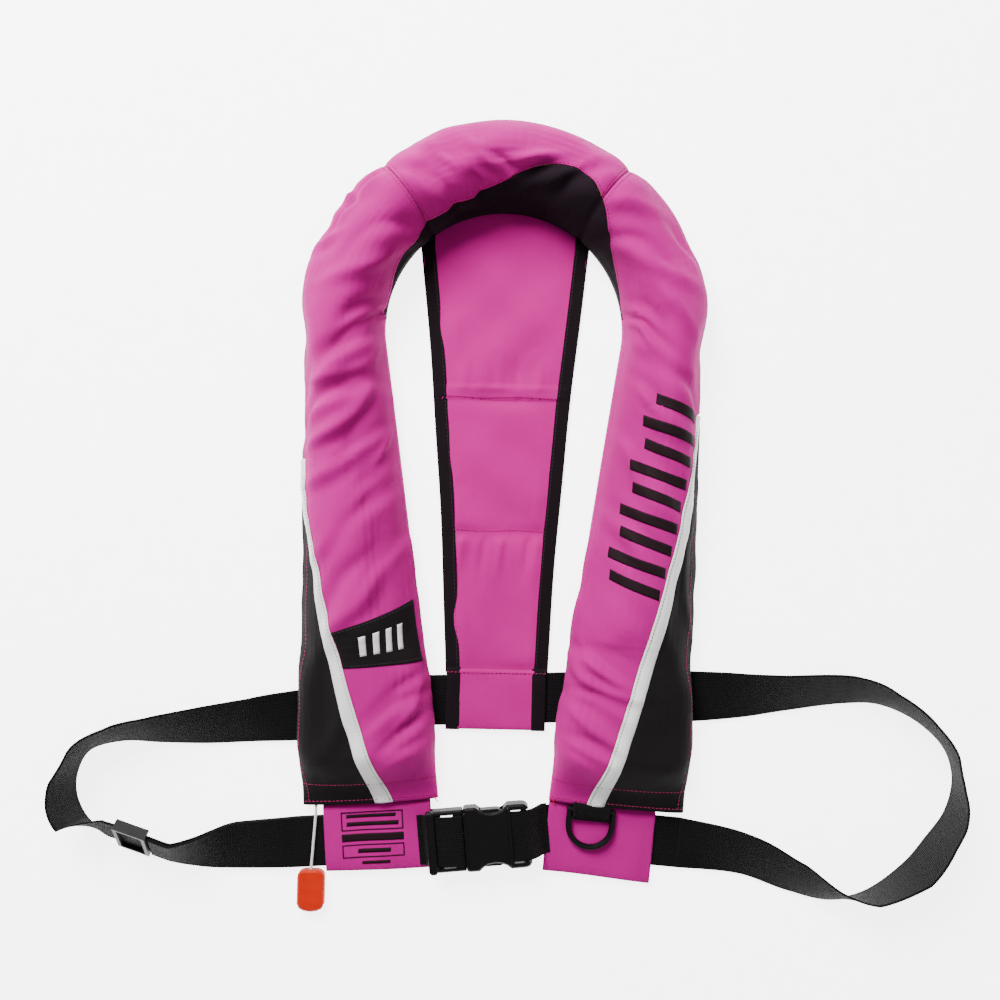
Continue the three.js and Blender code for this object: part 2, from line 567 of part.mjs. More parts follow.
// ---------------------------------------------------------------- back panel
const PANEL_Z = BINDING + GAP;          // the cloth lies in the fold of its bindings
const BELT_Z = FABRIC + GAP + WEBBING / 2;
const LOOP_TOP_Y = HEM_Y + BELT_ABOVE_HEM + WEBBING_WIDTH / 2 + 4;
const LOOP_BOTTOM_Y = HEM_Y + BELT_ABOVE_HEM - WEBBING_WIDTH / 2 - 4;
const PANEL_LIFT = LINING_TOP - FABRIC - GAP - FABRIC;    // up to the collar lining at the top
const PANEL_LIFT_FROM = 74;              // distance from the collar's centre
const NECK_EDGE = COLLAR_RADIUS - COLLAR_HALF_WIDTH;
const PANEL_TUCK = 6;                    // how far the panel reaches under the lining
const PANEL_CURVE = 1.6;

function panelHalf(y) {
  const t = THREE.MathUtils.clamp((PANEL_TOP_Y - y) / (PANEL_TOP_Y - LOOP_BOTTOM_Y), 0, 1);
  return THREE.MathUtils.lerp(PANEL_TOP_HALF, PANEL_BOTTOM_HALF, 1 - (1 - t) ** PANEL_CURVE);
}

// The panel's curved top is sewn under the collar lining, so the cloth rises to it near the neck's edge.
function panelLift(x, y) {
  const reach = Math.hypot(x, Math.max(0, y - COLLAR_CENTRE_Y));
  return (PANEL_LIFT - PANEL_Z) * THREE.MathUtils.smoothstep(reach, PANEL_LIFT_FROM, NECK_EDGE - 2);
}

function backPanel() {
  return slab(24, 8, (a, b, side) => {
    const share = b * 2 - 1;
    const top = COLLAR_CENTRE_Y + Math.sqrt((NECK_EDGE + PANEL_TUCK) ** 2 - (share * PANEL_TOP_HALF) ** 2);
    const y = THREE.MathUtils.lerp(LOOP_TOP_Y + GAP, top, a);
    const x = share * panelHalf(y);
    return new THREE.Vector3(x, y, PANEL_Z + panelLift(x, y) + side * FABRIC);
  });
}

// Binding tape folded round one edge of the panel, from the belt loop up to the lobe lining.
const BINDING_TOP_Y = 160;

function edgeBinding(side) {
  const steps = 14;
  const lip = 1.5 * GAP;
  const thick = FABRIC + 2 * GAP;
  const section = [[-BINDING_WIDTH, 0], [lip + BINDING, 0], [lip + BINDING, thick + 2 * BINDING],
    [-BINDING_WIDTH, thick + 2 * BINDING], [-BINDING_WIDTH, thick + BINDING], [lip, thick + BINDING],
    [lip, BINDING], [-BINDING_WIDTH, BINDING]];
  const points = [];
  for (let i = 0; i <= steps; i++) {
    const y = THREE.MathUtils.lerp(LOOP_TOP_Y + GAP, BINDING_TOP_Y, i / steps);
    for (const [dx, z] of section) points.push(new THREE.Vector3(side * (panelHalf(y) + dx), y, z));
  }
  const n = section.length;
  const index = [];
  for (let i = 0; i < steps; i++) {
    for (let j = 0; j < n; j++) {
      const [a, b] = [i * n + j, i * n + (j + 1) % n];
      index.push(a, b, b + n, a, b + n, a + n);
    }
  }
  const caps = THREE.ShapeUtils.triangulateShape(section.map(([x, z]) => new THREE.Vector2(x, z)), []);
  for (const [a, b, c] of caps) {
    index.push(c, b, a);
    index.push(steps * n + a, steps * n + b, steps * n + c);
  }
  return closedMesh(points, index);
}

// A flat tunnel of cloth for webbing: its section (along Y and Z) is extruded along X.
function tunnel(x0, x1, y0, y1, inside, tab = 0) {
  const top = FABRIC * 2 + inside;
  const outline = new THREE.Shape();
  outline.moveTo(y0, 0);
  outline.lineTo(y1, 0);
  if (tab > 0) {
    const tabZ = LINING_TOP - FABRIC - GAP;
    outline.lineTo(y1 + 5, tabZ - FABRIC);
    outline.lineTo(y1 + tab, tabZ - FABRIC);
    outline.lineTo(y1 + tab, tabZ);
    outline.lineTo(y1 + 1, tabZ);
  }
  outline.lineTo(y1, top);
  outline.lineTo(y0, top);
  const hollow = new THREE.Path();
  hollow.moveTo(y0 + FABRIC, FABRIC);
  hollow.lineTo(y0 + FABRIC, FABRIC + inside);
  hollow.lineTo(y1 - FABRIC, FABRIC + inside);
  hollow.lineTo(y1 - FABRIC, FABRIC);
  outline.holes.push(hollow);
  const geometry = new THREE.ExtrudeGeometry(outline, { depth: x1 - x0, bevelEnabled: false });
  // Shape x runs along Y, shape y along Z, and the extrusion along X.
  const turn = new THREE.Matrix4().makeBasis(new THREE.Vector3(0, 1, 0), new THREE.Vector3(0, 0, 1),
    new THREE.Vector3(1, 0, 0));
  return geometry.applyMatrix4(turn).translate(x0, 0, 0);
}

const ONE_LAYER = WEBBING + 2 * GAP;
const TWO_LAYERS = 2 * WEBBING + 3 * GAP;

function backPiece() {
  node('back_panel', backPanel(), PINK);
  node('panel_binding_left', edgeBinding(-1), DARK_CLOTH);
  node('panel_binding_right', edgeBinding(1), DARK_CLOTH);
  const half = PANEL_BOTTOM_HALF;
  node('back_belt_loop', tunnel(-half, half, LOOP_BOTTOM_Y, LOOP_TOP_Y, ONE_LAYER), PINK);
}

// ---------------------------------------------------------------- waist belt
// The belt is one run of stations, from the left sleeve round the back to the right sleeve. Each station gives
// its low edge and the direction of its high edge, a webbing width away; a piece of webbing is a stretch of the
// run, from one station number to another. lift moves it off the run's middle plane, for a second layer.
const STEPS_PER_STATION = 2;

function riseAt(run, number) {
  const k = Math.min(run.length - 2, Math.floor(number));
  return run[k].rise.clone().lerp(run[k + 1].rise, number - k);
}

function webbing(run, from, to, lift = 0) {
  const lows = new THREE.CatmullRomCurve3(run.map((t) => t.low), false, 'centripetal');
  const steps = Math.ceil((to - from) * STEPS_PER_STATION);
  const points = [];
  for (let i = 0; i <= steps; i++) {
    const u = THREE.MathUtils.lerp(from, to, i / steps) / (run.length - 1);
    const ahead = lows.getPoint(Math.min(1, u + 1e-4)).sub(lows.getPoint(Math.max(0, u - 1e-4))).normalize();
    const rise = riseAt(run, u * (run.length - 1)).projectOnPlane(ahead).normalize();
    const face = new THREE.Vector3().crossVectors(ahead, rise).normalize();
    const low = lows.getPoint(u).addScaledVector(face, lift);
    const high = low.clone().addScaledVector(rise, WEBBING_WIDTH);
    for (const [edge, side] of [[low, -1], [high, -1], [high, 1], [low, 1]]) {
      points.push(edge.clone().addScaledVector(face, side * WEBBING / 2));
    }
  }
  const index = [];
  for (let i = 0; i < steps; i++) {
    for (let j = 0; j < 4; j++) {
      const [a, b] = [i * 4 + j, i * 4 + (j + 1) % 4];
      // Both faces of a twisted stretch are creased along the same diagonal, so that layers nest.
      if (j === 2) index.push(a, b, a + 4, b, b + 4, a + 4);
      else index.push(a, b, b + 4, a, b + 4, a + 4);
    }
  }
  const last = steps * 4;
  index.push(2, 1, 0, 3, 2, 0, last, last + 1, last + 2, last, last + 2, last + 3);
  return closedMesh(points, index);
}

const V = (x, y, z) => new THREE.Vector3(x, y, z);
const station = (low, rise) => ({ low, rise: rise.clone().normalize() });
const FLAT = V(0, 1, 0);

// A point below a lobe's hem: out from the lobe's middle along the hem, and down square to it.
function belowHem(lobe, out, down) {
  const [cos, sin] = [Math.cos(LEG_LEAN), Math.sin(LEG_LEAN)];
  return V(lobe.side * (legX(HEM_Y) + out * cos - down * sin), HEM_Y - out * sin - down * cos, 0);
}

const lowEdge = (middle, rise, z) => middle.clone().addScaledVector(rise, -halfBelt).setZ(z);
const halfBelt = WEBBING_WIDTH / 2;
const BELT_MIDDLE_Y = HEM_Y + BELT_ABOVE_HEM;
const LEFT_EXIT = V(-legX(BELT_MIDDLE_Y) - HEM_HALF_WIDTH + 1.5, BELT_MIDDLE_Y - 16, 0);
const RIGHT_EXIT = V(legX(BELT_MIDDLE_Y) + HEM_HALF_WIDTH + 1, BELT_MIDDLE_Y + 6, 0);
const SLEEVE_IN = { left: 4.5, right: 10.5 };    // how far each sleeve's middle lies in from its lobe's
const LEFT_ENTRY = belowHem(LEFT, SLEEVE_LENGTH / 2 + 15 - SLEEVE_IN.left, LEFT_BELT_BELOW_HEM);
const LEFT_OUTSIDE = belowHem(LEFT, SLEEVE_LENGTH / 2 + 24 - SLEEVE_IN.left, LEFT_BELT_BELOW_HEM);
const RIGHT_ENTRY = belowHem(RIGHT, SLEEVE_LENGTH / 2 + 20 - SLEEVE_IN.right, RIGHT_BELT_BELOW_HEM);
const LEFT_END = belowHem(LEFT, -SLEEVE_LENGTH / 2 - 4 - SLEEVE_IN.left, LEFT_BELT_BELOW_HEM);
const RIGHT_END = belowHem(RIGHT, -SLEEVE_LENGTH / 2 - 2 - SLEEVE_IN.right, RIGHT_BELT_BELOW_HEM);
const LEFT_HEM_RISE = V(-Math.sin(LEG_LEAN), Math.cos(LEG_LEAN), 0);
const RIGHT_HEM_RISE = V(Math.sin(LEG_LEAN), Math.cos(LEG_LEAN), 0);
// A loop's stations hang between the exit behind the lobe and the entry of the front sleeve: share is how far
// along that step a station's base lies, then come its offset from the base and the direction of its high edge.
function loop(exit, entry, list) {
  return list.map(([share, x, y, rise]) => {
    const base = exit.clone().lerp(entry, share);
    return station(V(base.x + x, base.y + y, STANDING_Z), V(...rise));
  });
}

const STANDING_Z = 1;
const flat = (middle) => station(lowEdge(middle, FLAT, BELT_Z), FLAT);

const leftBend = loop(LEFT_EXIT, LEFT_ENTRY, [
  [0.74, -175, -10, [-0.28, 0.13, 0.95]],
  [0.62, -182, -5, [-0.22, 0.16, 0.96]],
  [0.5, -181, 0, [-0.1, 0.2, 0.97]],
  [0.38, -171, 6, [0.15, 0.28, 0.95]],
  [0.28, -144, 4.5, [0.17, 0.43, 0.88]],
  [0.2, -111, -4, [0.04, 0.66, 0.75]],
  [0.12, -74, -12, [0.03, 0.83, 0.56]],
  [0.05, -38, -17, [0.05, 0.92, 0.39]],
]);

const rightBend = loop(RIGHT_EXIT, RIGHT_ENTRY, [
  [0.06, 40, -9, [-0.08, 0.93, 0.36]],
  [0.12, 74, 4, [-0.07, 0.8, 0.6]],
  [0.18, 122, 18, [-0.3, 0.62, 0.73]],
  [0.24, 150, 25, [-0.36, 0.4, 0.85]],
  [0.32, 181, 22, [-0.37, 0.32, 0.87]],
  [0.4, 205, 10, [-0.33, 0.28, 0.9]],
  [0.48, 213, -1, [-0.22, 0.22, 0.95]],
  [0.56, 213, -7, [-0.08, 0.1, 0.99]],
  [0.66, 208, -13, [0.08, 0.1, 0.99]],
  [0.76, 196, -19.5, [0.22, 0.08, 0.97]],
  [0.84, 180, -31, [0.28, 0.04, 0.96]],
  [0.9, 149, -48, [-0.02, 0.1, 0.99]],
  [0.94, 122, -50, [-0.24, 0.42, 0.88]],
  [0.97, 88, -40, [-0.2, 0.76, 0.6]],
  [0.985, 50, -26, [-0.1, 0.9, 0.42]],
]);

// The slide sits on a straight stretch of the left run, standing on its edge.
const SLIDER_Z = 5.4;
const STRAIGHT_RISE = V(0.18, 0.55, 0.81);
const STRAIGHT_FROM = V(LEFT_ENTRY.x - 158, LEFT_ENTRY.y + 2.1, SLIDER_Z);
const STRAIGHT_TO = V(LEFT_ENTRY.x - 106, LEFT_ENTRY.y - 15.2, SLIDER_Z);
const STRAIGHT_LENGTH = STRAIGHT_FROM.distanceTo(STRAIGHT_TO);
const SLIDER = { along: 26, across: WEBBING_WIDTH + 7, bar: 3, at: 24 };
const onStraight = (distance) => STRAIGHT_FROM.clone().lerp(STRAIGHT_TO, distance / STRAIGHT_LENGTH);

const leftFront = [
  station(lowEdge(LEFT_END, LEFT_HEM_RISE, BELT_Z), LEFT_HEM_RISE),
  station(lowEdge(LEFT_END.clone().lerp(LEFT_ENTRY, 0.5), LEFT_HEM_RISE, BELT_Z), LEFT_HEM_RISE),
  station(lowEdge(LEFT_ENTRY, LEFT_HEM_RISE, BELT_Z), LEFT_HEM_RISE),
  station(lowEdge(LEFT_OUTSIDE, LEFT_HEM_RISE, BELT_Z), LEFT_HEM_RISE),
  station(V(LEFT_ENTRY.x - 57, LEFT_ENTRY.y - 22, STANDING_Z), V(0, 0.96, 0.27)),
  station(V(LEFT_ENTRY.x - 80, LEFT_ENTRY.y - 20.5, 2.5), V(0.05, 0.83, 0.55)),
  station(STRAIGHT_TO, STRAIGHT_RISE),
  station(onStraight(SLIDER.at + SLIDER.along / 2 + 2), STRAIGHT_RISE),
  station(onStraight(SLIDER.at), STRAIGHT_RISE),
  station(onStraight(SLIDER.at - SLIDER.along / 2 - 3), STRAIGHT_RISE),
  station(STRAIGHT_FROM, STRAIGHT_RISE),
];

const back = [
  flat(LEFT_EXIT),
  flat(LEFT_EXIT.clone().add(V(14, 1.5, 0))),
  flat(V(LEFT_EXIT.x * 0.5, BELT_MIDDLE_Y - 3.5, 0)),
  flat(V(0, BELT_MIDDLE_Y, 0)),
  flat(V(RIGHT_EXIT.x * 0.5, BELT_MIDDLE_Y + 4, 0)),
  flat(RIGHT_EXIT.clone().add(V(-14, -0.5, 0))),
  flat(RIGHT_EXIT),
];

const rightFront = [
  station(lowEdge(RIGHT_ENTRY, RIGHT_HEM_RISE, BELT_Z), RIGHT_HEM_RISE),
  station(lowEdge(RIGHT_ENTRY.clone().lerp(RIGHT_END, 0.15), RIGHT_HEM_RISE, BELT_Z), RIGHT_HEM_RISE),
  station(lowEdge(RIGHT_ENTRY.clone().lerp(RIGHT_END, 0.6), RIGHT_HEM_RISE, BELT_Z), RIGHT_HEM_RISE),
  station(lowEdge(RIGHT_END, RIGHT_HEM_RISE, BELT_Z), RIGHT_HEM_RISE),
];

const beltRun = [...leftFront, ...leftBend, ...back, ...rightBend, ...rightFront];

// Three-bar slide: its outer bars lie over the webbing and the middle one under it.
function beltSlider() {
  const ahead = STRAIGHT_TO.clone().sub(STRAIGHT_FROM).normalize();
  const face = new THREE.Vector3().crossVectors(ahead, STRAIGHT_RISE).normalize();
  const across = new THREE.Vector3().crossVectors(face, ahead).normalize();
  const { along: length, across: width, bar } = SLIDER;
  const off = WEBBING / 2 + GAP;
  const inner = WEBBING_WIDTH / 2 + GAP + 0.2;
  const rails = [-1, 1].map((side) => box(-length / 2, length / 2, side < 0 ? -width / 2 : inner,
    side < 0 ? -inner : width / 2, -off - bar, off + bar));
  const bars = [-1, 1].map((end) => box(end < 0 ? -length / 2 : length / 2 - bar, end < 0 ? -length / 2 + bar : length / 2,
    -width / 2 + 1, width / 2 - 1, off, off + bar));
  const middle = box(-bar / 2 - 0.5, bar / 2 + 0.5, -width / 2 + 1, width / 2 - 1, -off - bar, -off);
  const geometry = join(...rails, ...bars, middle);
  const origin = onStraight(SLIDER.at).addScaledVector(across, WEBBING_WIDTH / 2);
  const frame = new THREE.Matrix4().makeBasis(ahead, across, face).setPosition(origin);
  return geometry.applyMatrix4(frame);
}

// Where the webbing is divided into pieces, as station numbers of the run, each with a small gap.
const CUT = 0.012;
const SLIDER_STATION = leftFront.length - 4;
const LEFT_LOOP_FROM = leftFront.length - 1;
const BACK_FROM = leftFront.length + leftBend.length;
const BACK_TO = BACK_FROM + back.length - 1;
const FRONT_FROM = BACK_TO + rightBend.length + 1;

function waistBelt() {
  node('belt_left_front', webbing(beltRun, 0, LEFT_LOOP_FROM - CUT), WEBBING_BLACK);
  node('belt_left_tail', webbing(beltRun, 0, SLIDER_STATION, -WEBBING - GAP), WEBBING_BLACK);
  node('belt_left_loop', webbing(beltRun, LEFT_LOOP_FROM + CUT, BACK_FROM - CUT), WEBBING_BLACK);
  node('belt_back', webbing(beltRun, BACK_FROM + CUT, BACK_TO - CUT), WEBBING_BLACK);
  node('belt_right_loop', webbing(beltRun, BACK_TO + CUT, FRONT_FROM - CUT), WEBBING_BLACK);
  node('belt_right_front', webbing(beltRun, FRONT_FROM + CUT, beltRun.length - 1), WEBBING_BLACK);
  node('belt_slider', beltSlider(), BLACK_PLASTIC);
}

const SLEEVE_TAB = 18;
const SLEEVE_TOP = -1.2;            // below the hem

// Each hem's own frame: the middle of the hem, with x along it.
function hemFrame(lobe) {
  const frame = new THREE.Group();
  frame.position.set(lobe.side * legX(HEM_Y), HEM_Y, 0);
  frame.rotation.z = -lobe.side * LEG_LEAN;
  root.add(frame);
  return frame;
}

const leftHem = hemFrame(LEFT);
const rightHem = hemFrame(RIGHT);

function sleeves() {
  const half = SLEEVE_LENGTH / 2;
  const left = tunnel(SLEEVE_IN.left - half, SLEEVE_IN.left + half, SLEEVE_TOP - LEFT_SLEEVE_DEPTH, SLEEVE_TOP,
    TWO_LAYERS, SLEEVE_TAB);
  const right = tunnel(-SLEEVE_IN.right - half, -SLEEVE_IN.right + half, SLEEVE_TOP - RIGHT_SLEEVE_DEPTH, SLEEVE_TOP,
    ONE_LAYER, SLEEVE_TAB);
  node('sleeve_left', left, PINK, leftHem);
  node('sleeve_right', right, PINK, rightHem);
}

// ---------------------------------------------------------------- buckle
// Modelled along its own axis: x = 0 is the mouth of the female body, which lies at positive x.
const buckle = new THREE.Group();
buckle.position.set((LEFT_END.x + RIGHT_END.x) / 2 - 20, (LEFT_END.y + RIGHT_END.y) / 2 - 2, BUCKLE_Z);
buckle.rotation.z = BUCKLE_TURN;
root.add(buckle);

const CAVITY_HALF = BUCKLE_WIDTH / 2 - BUCKLE_WALL;
const CAVITY_Z = BUCKLE_THICK / 2 - 2.2;
const PAD_FROM = 13;
const PAD_TO = 32;
const WAIST_HALF = BUCKLE_WIDTH / 2 - 7;
const SLOT_HALF = WEBBING_WIDTH / 2 + 0.7;
const FEMALE_BAR_X = BUCKLE_LENGTH - 4.5;
const SLOT_FROM = 37.5;
const PRONG_WIDTH = 5;
const PRONG_ROOT_X = 2.5;
const PRONG_ROOT_GAP = 2 * GAP;
const PRONG_Y = 13;
const MALE_BAR_X = -20;
const MALE_LENGTH = 26;

function femaleOutline() {
  const half = BUCKLE_WIDTH / 2;
  const shape = new THREE.Shape();
  shape.moveTo(0, -half + 3);
  shape.quadraticCurveTo(0, -half, 3, -half);
  shape.lineTo(PAD_FROM - 3, -half);
  shape.bezierCurveTo(PAD_FROM + 3, -WAIST_HALF, PAD_TO - 3, -WAIST_HALF, PAD_TO + 3, -half);
  shape.lineTo(BUCKLE_LENGTH - 7, -half);
  shape.quadraticCurveTo(BUCKLE_LENGTH, -half, BUCKLE_LENGTH, -half + 7);
  shape.lineTo(BUCKLE_LENGTH, half - 7);
  shape.quadraticCurveTo(BUCKLE_LENGTH, half, BUCKLE_LENGTH - 7, half);
  shape.lineTo(PAD_TO + 3, half);
  shape.bezierCurveTo(PAD_TO - 3, WAIST_HALF, PAD_FROM + 3, WAIST_HALF, PAD_FROM - 3, half);
  shape.lineTo(3, half);
  shape.quadraticCurveTo(0, half, 0, half - 3);
  return shape;
}

function buckleFemale() {
  const body = plate(femaleOutline(), BUCKLE_THICK, 1.5, 6).translate(0, 0, -BUCKLE_THICK / 2);
  const cavity = box(-1, PAD_TO + 2, -CAVITY_HALF, CAVITY_HALF, -CAVITY_Z, CAVITY_Z);
  const slot = box(SLOT_FROM, BUCKLE_LENGTH + 1, -SLOT_HALF, SLOT_HALF, -BUCKLE_THICK, BUCKLE_THICK);
  const shell = cut(body, cavity, slot);
  return join(shell, rod('y', -SLOT_HALF - 1, SLOT_HALF + 1, BAR_RADIUS, [FEMALE_BAR_X, 0], 12));
}

function buckleMale() {
  const half = BUCKLE_WIDTH / 2;
  const outline = new THREE.Shape();
  outline.moveTo(-GAP, -half + 1);
  outline.lineTo(-GAP, half - 1);
  outline.lineTo(-MALE_LENGTH + 4, half - 1);
  outline.quadraticCurveTo(-MALE_LENGTH, half - 1, -MALE_LENGTH, half - 5);
  outline.lineTo(-MALE_LENGTH, -half + 5);
  outline.quadraticCurveTo(-MALE_LENGTH, -half + 1, -MALE_LENGTH + 4, -half + 1);
  const base = plate(outline, BUCKLE_THICK - 2, 1.2, 4).translate(0, 0, -BUCKLE_THICK / 2 + 1);
  const slot = box(-MALE_LENGTH - 1, -8, -SLOT_HALF, SLOT_HALF, -BUCKLE_THICK, BUCKLE_THICK);
  const frame = cut(base, slot);
  const bar = rod('y', -SLOT_HALF - 1, SLOT_HALF + 1, BAR_RADIUS, [MALE_BAR_X, 0], 12);
  const guide = box(-2, 22, -3, 3, -3, 3);
  const roots = [-1, 1].map((side) => box(-2, PRONG_ROOT_X - PRONG_ROOT_GAP, side * PRONG_Y - 3.4, side * PRONG_Y + 3.4, -3.4, 3.4));
  return join(frame, bar, guide, ...roots);
}

// One springy prong: an arm from the base to a broad pad that fills the side window of the body.
function buckleProng(side) {
  const outer = CAVITY_HALF - GAP;
  const shape = new THREE.Shape();
  shape.moveTo(PRONG_ROOT_X, PRONG_Y - PRONG_WIDTH / 2);
  shape.lineTo(PRONG_ROOT_X, PRONG_Y + PRONG_WIDTH / 2);
  shape.lineTo(PAD_FROM - 1, PRONG_Y + PRONG_WIDTH / 2 + 1.5);
  shape.lineTo(PAD_FROM + 1, outer);
  shape.lineTo(PAD_TO - 5, outer);
  shape.quadraticCurveTo(PAD_TO, outer - 2, PAD_TO, outer - 8);
  shape.lineTo(PAD_TO - 4, outer - 8);
  shape.quadraticCurveTo(PAD_FROM + 4, outer - 8, PRONG_ROOT_X + 8, PRONG_Y - PRONG_WIDTH / 2);
  const prong = plate(shape, 2 * (CAVITY_Z - GAP), 0.6, 5).translate(0, 0, -CAVITY_Z + GAP);
  return side > 0 ? prong : prong.rotateX(Math.PI);
}

// Webbing folded round a bar: a ring, and two layers that run off together to the tail end.
function wrap(barX, tailX, tailZ, tailThick) {
  const inner = BAR_RADIUS + GAP;
  const outer = inner + WEBBING;
  const away = Math.sign(tailX - barX);
  const shape = new THREE.Shape();
  const steps = 12;
  const start = -0.42 * Math.PI;
  const sweep = -1.22 * Math.PI;
  for (let i = 0; i <= steps; i++) {
    const angle = start + sweep * (i / steps);
    const [x, z] = [outer * Math.cos(angle), outer * Math.sin(angle)];
    if (i === 0) shape.moveTo(barX + away * x, z);
    else shape.lineTo(barX + away * x, z);
  }
  shape.lineTo(tailX - away * 4, tailZ + tailThick);
  shape.lineTo(tailX, tailZ + tailThick);
  shape.lineTo(tailX, tailZ);
  shape.lineTo(tailX - away * 4, tailZ);
  const hole = new THREE.Path();
  hole.absarc(barX, 0, inner, 0, 2 * Math.PI, away < 0);
  shape.holes.push(hole);
  const geometry = new THREE.ExtrudeGeometry(shape, { depth: WEBBING_WIDTH, bevelEnabled: false, curveSegments: 8 });
  return geometry.rotateX(Math.PI / 2).translate(0, WEBBING_WIDTH / 2, 0);
}

function buckleSet() {
  node('buckle_female', buckleFemale(), BLACK_PLASTIC, buckle);
  node('buckle_male', buckleMale(), BLACK_PLASTIC, buckle);
  node('buckle_prong_upper', buckleProng(1), BLACK_PLASTIC, buckle);
  node('buckle_prong_lower', buckleProng(-1), BLACK_PLASTIC, buckle);
  const sleeveTop = FABRIC * 2 + TWO_LAYERS;
  node('belt_left_wrap', wrap(MALE_BAR_X, MALE_BAR_X - 14, sleeveTop + 2 * GAP - BUCKLE_Z, 2 * WEBBING), WEBBING_BLACK,
    buckle);
  const beltTop = BELT_Z - WEBBING / 2;
  node('belt_right_wrap', wrap(FEMALE_BAR_X, FEMALE_BAR_X + 11, beltTop - BUCKLE_Z, 2 * WEBBING), WEBBING_BLACK, buckle);
}

// ---------------------------------------------------------------- D-ring and pull cord
const D_RING_X = -19.5;             // in the right hem's frame
const TAB_RADIUS = D_RING_ROD / 2 + GAP + 1.5;
const D_BAR_Y = -4.5;
const D_BAR_Z = LINING_TOP + GAP + TAB_RADIUS + GAP;
const TAB_WIDTH = 28;

function dRing() {
  const half = D_RING_WIDTH / 2 - D_RING_ROD / 2;
  const drop = D_RING_DROP - D_RING_ROD / 2;
  const side = [];
  for (let i = 0; i <= 14; i++) {
    const angle = (Math.PI * i) / 14;
    side.push(V(D_RING_X + half * Math.cos(angle), D_BAR_Y - (drop - half) - half * Math.sin(angle), D_BAR_Z));
  }
  const bow = tubeAlong(side.map((p) => p.toArray()), D_RING_ROD, 20, 10);
  const bar = rod('x', D_RING_X - half, D_RING_X + half, D_RING_ROD / 2, [D_BAR_Y, D_BAR_Z], 10);
  const legs = [-1, 1].map((s) => rod('y', D_BAR_Y - (drop - half) - 1, D_BAR_Y, D_RING_ROD / 2,
    [D_RING_X + s * half, D_BAR_Z], 10));
  const balls = [-1, 1].map((s) => new THREE.SphereGeometry(D_RING_ROD / 2 + 0.1, 10, 8)
    .translate(D_RING_X + s * half, D_BAR_Y, D_BAR_Z));
  return join(bow, bar, ...legs, ...balls);
}

// Webbing tab round the ring's bar; its tail is sewn in between the cover and the lining.
function dRingTab() {
  const shape = new THREE.Shape();
  const outer = TAB_RADIUS;
  const low = D_BAR_Z - outer;
  const tail = 12;
  shape.moveTo(tail, low);
  shape.lineTo(tail, low + 3);
  shape.lineTo(-1, low + 3);
  for (let i = 0; i <= 12; i++) {
    const angle = THREE.MathUtils.lerp(0.22, 1.5, i / 12) * Math.PI;
    shape.lineTo(D_BAR_Y + outer * Math.cos(angle), D_BAR_Z + outer * Math.sin(angle));
  }
  const hole = new THREE.Path();
  hole.absarc(D_BAR_Y, D_BAR_Z, D_RING_ROD / 2 + GAP, 0, 2 * Math.PI, true);
  shape.holes.push(hole);
  const geometry = new THREE.ExtrudeGeometry(shape, { depth: TAB_WIDTH, bevelEnabled: false, curveSegments: 8 });
  const turn = new THREE.Matrix4().makeBasis(V(0, 1, 0), V(0, 0, 1), V(1, 0, 0));
  return geometry.applyMatrix4(turn).translate(D_RING_X - TAB_WIDTH / 2, 0, 0);
}

// The pull cord, from the inflator lever to the toggle: its points are chosen by hand.
const cordRoute = [[-125.8, -169, 22.8], [-130.5, -176, 22.9], [-134.5, -184, 22.9], [-137, -191, 21.6], [-139, -204, 13.5],
  [-140.8, -224, 8.6], [-140.8, -235, 6.5], [-140.6, -244, 6.5], [-140.6, -251, 7.1], [-141, -260, 7.4],
  [-141.7, -271, 7.5], [-142.4, -282, 7.5], [-143, -290, 7.3], [-143.4, -296, 6.9]];
const TOGGLE_TOP = V(-143.5, -296.3, 0);

function pullToggle() {
  const half = TOGGLE_WIDTH / 2;
  const shape = new THREE.Shape();
  shape.moveTo(-half + 6, 0);
  shape.lineTo(half - 6, 0);
  shape.quadraticCurveTo(half, -1, half, -6);
  shape.lineTo(half, -TOGGLE_LENGTH + 8);
  shape.bezierCurveTo(half, -TOGGLE_LENGTH, -half, -TOGGLE_LENGTH, -half, -TOGGLE_LENGTH + 8);
  shape.lineTo(-half, -6);
  shape.quadraticCurveTo(-half, -1, -half + 6, 0);
  return plate(shape, TOGGLE_THICK, 1.5, 6).translate(TOGGLE_TOP.x, TOGGLE_TOP.y - GAP, 0);
}

// ---------------------------------------------------------------- assembly
horseshoe();
node('rating_patch', ratingPatch(), DARK_CLOTH);
node('bladder', bladder(), CLEAR_FILM);
for (const lobe of [LEFT, RIGHT]) {
  node(`closure_hook_${lobe.name}`, closureStrip(lobe, LOBE_BASE_Z + GAP), DARK_CLOTH);
  node(`closure_loop_${lobe.name}`, closureStrip(lobe, LOBE_BASE_Z + 2 * GAP + FABRIC), DARK_CLOTH);
}
inflatorSet();
oralInflation();
whistleSet();
backPiece();
waistBelt();
sleeves();
buckleSet();
node('d_ring', dRing(), DARK_METAL, rightHem);
node('d_ring_tab', dRingTab(), WEBBING_BLACK, rightHem);
node('pull_cord', tubeAlong(cordRoute, CORD_DIAMETER, 24), WHITE_CORD);
node('pull_toggle', pullToggle(), ORANGE);

// The origin lies under the middle of the whole object, cord and toggle left out, at floor level.
const model = new THREE.Group();
model.add(root);
const bounds = new THREE.Box3();
root.updateMatrixWorld(true);
root.traverse((part) => {
  if (part.isMesh && !['pull_cord', 'pull_toggle'].includes(part.name)) bounds.expandByObject(part, true);
});
const middle = bounds.getCenter(new THREE.Vector3());
root.position.set(-middle.x, -middle.y, -bounds.min.z);

export default model;
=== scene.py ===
import math

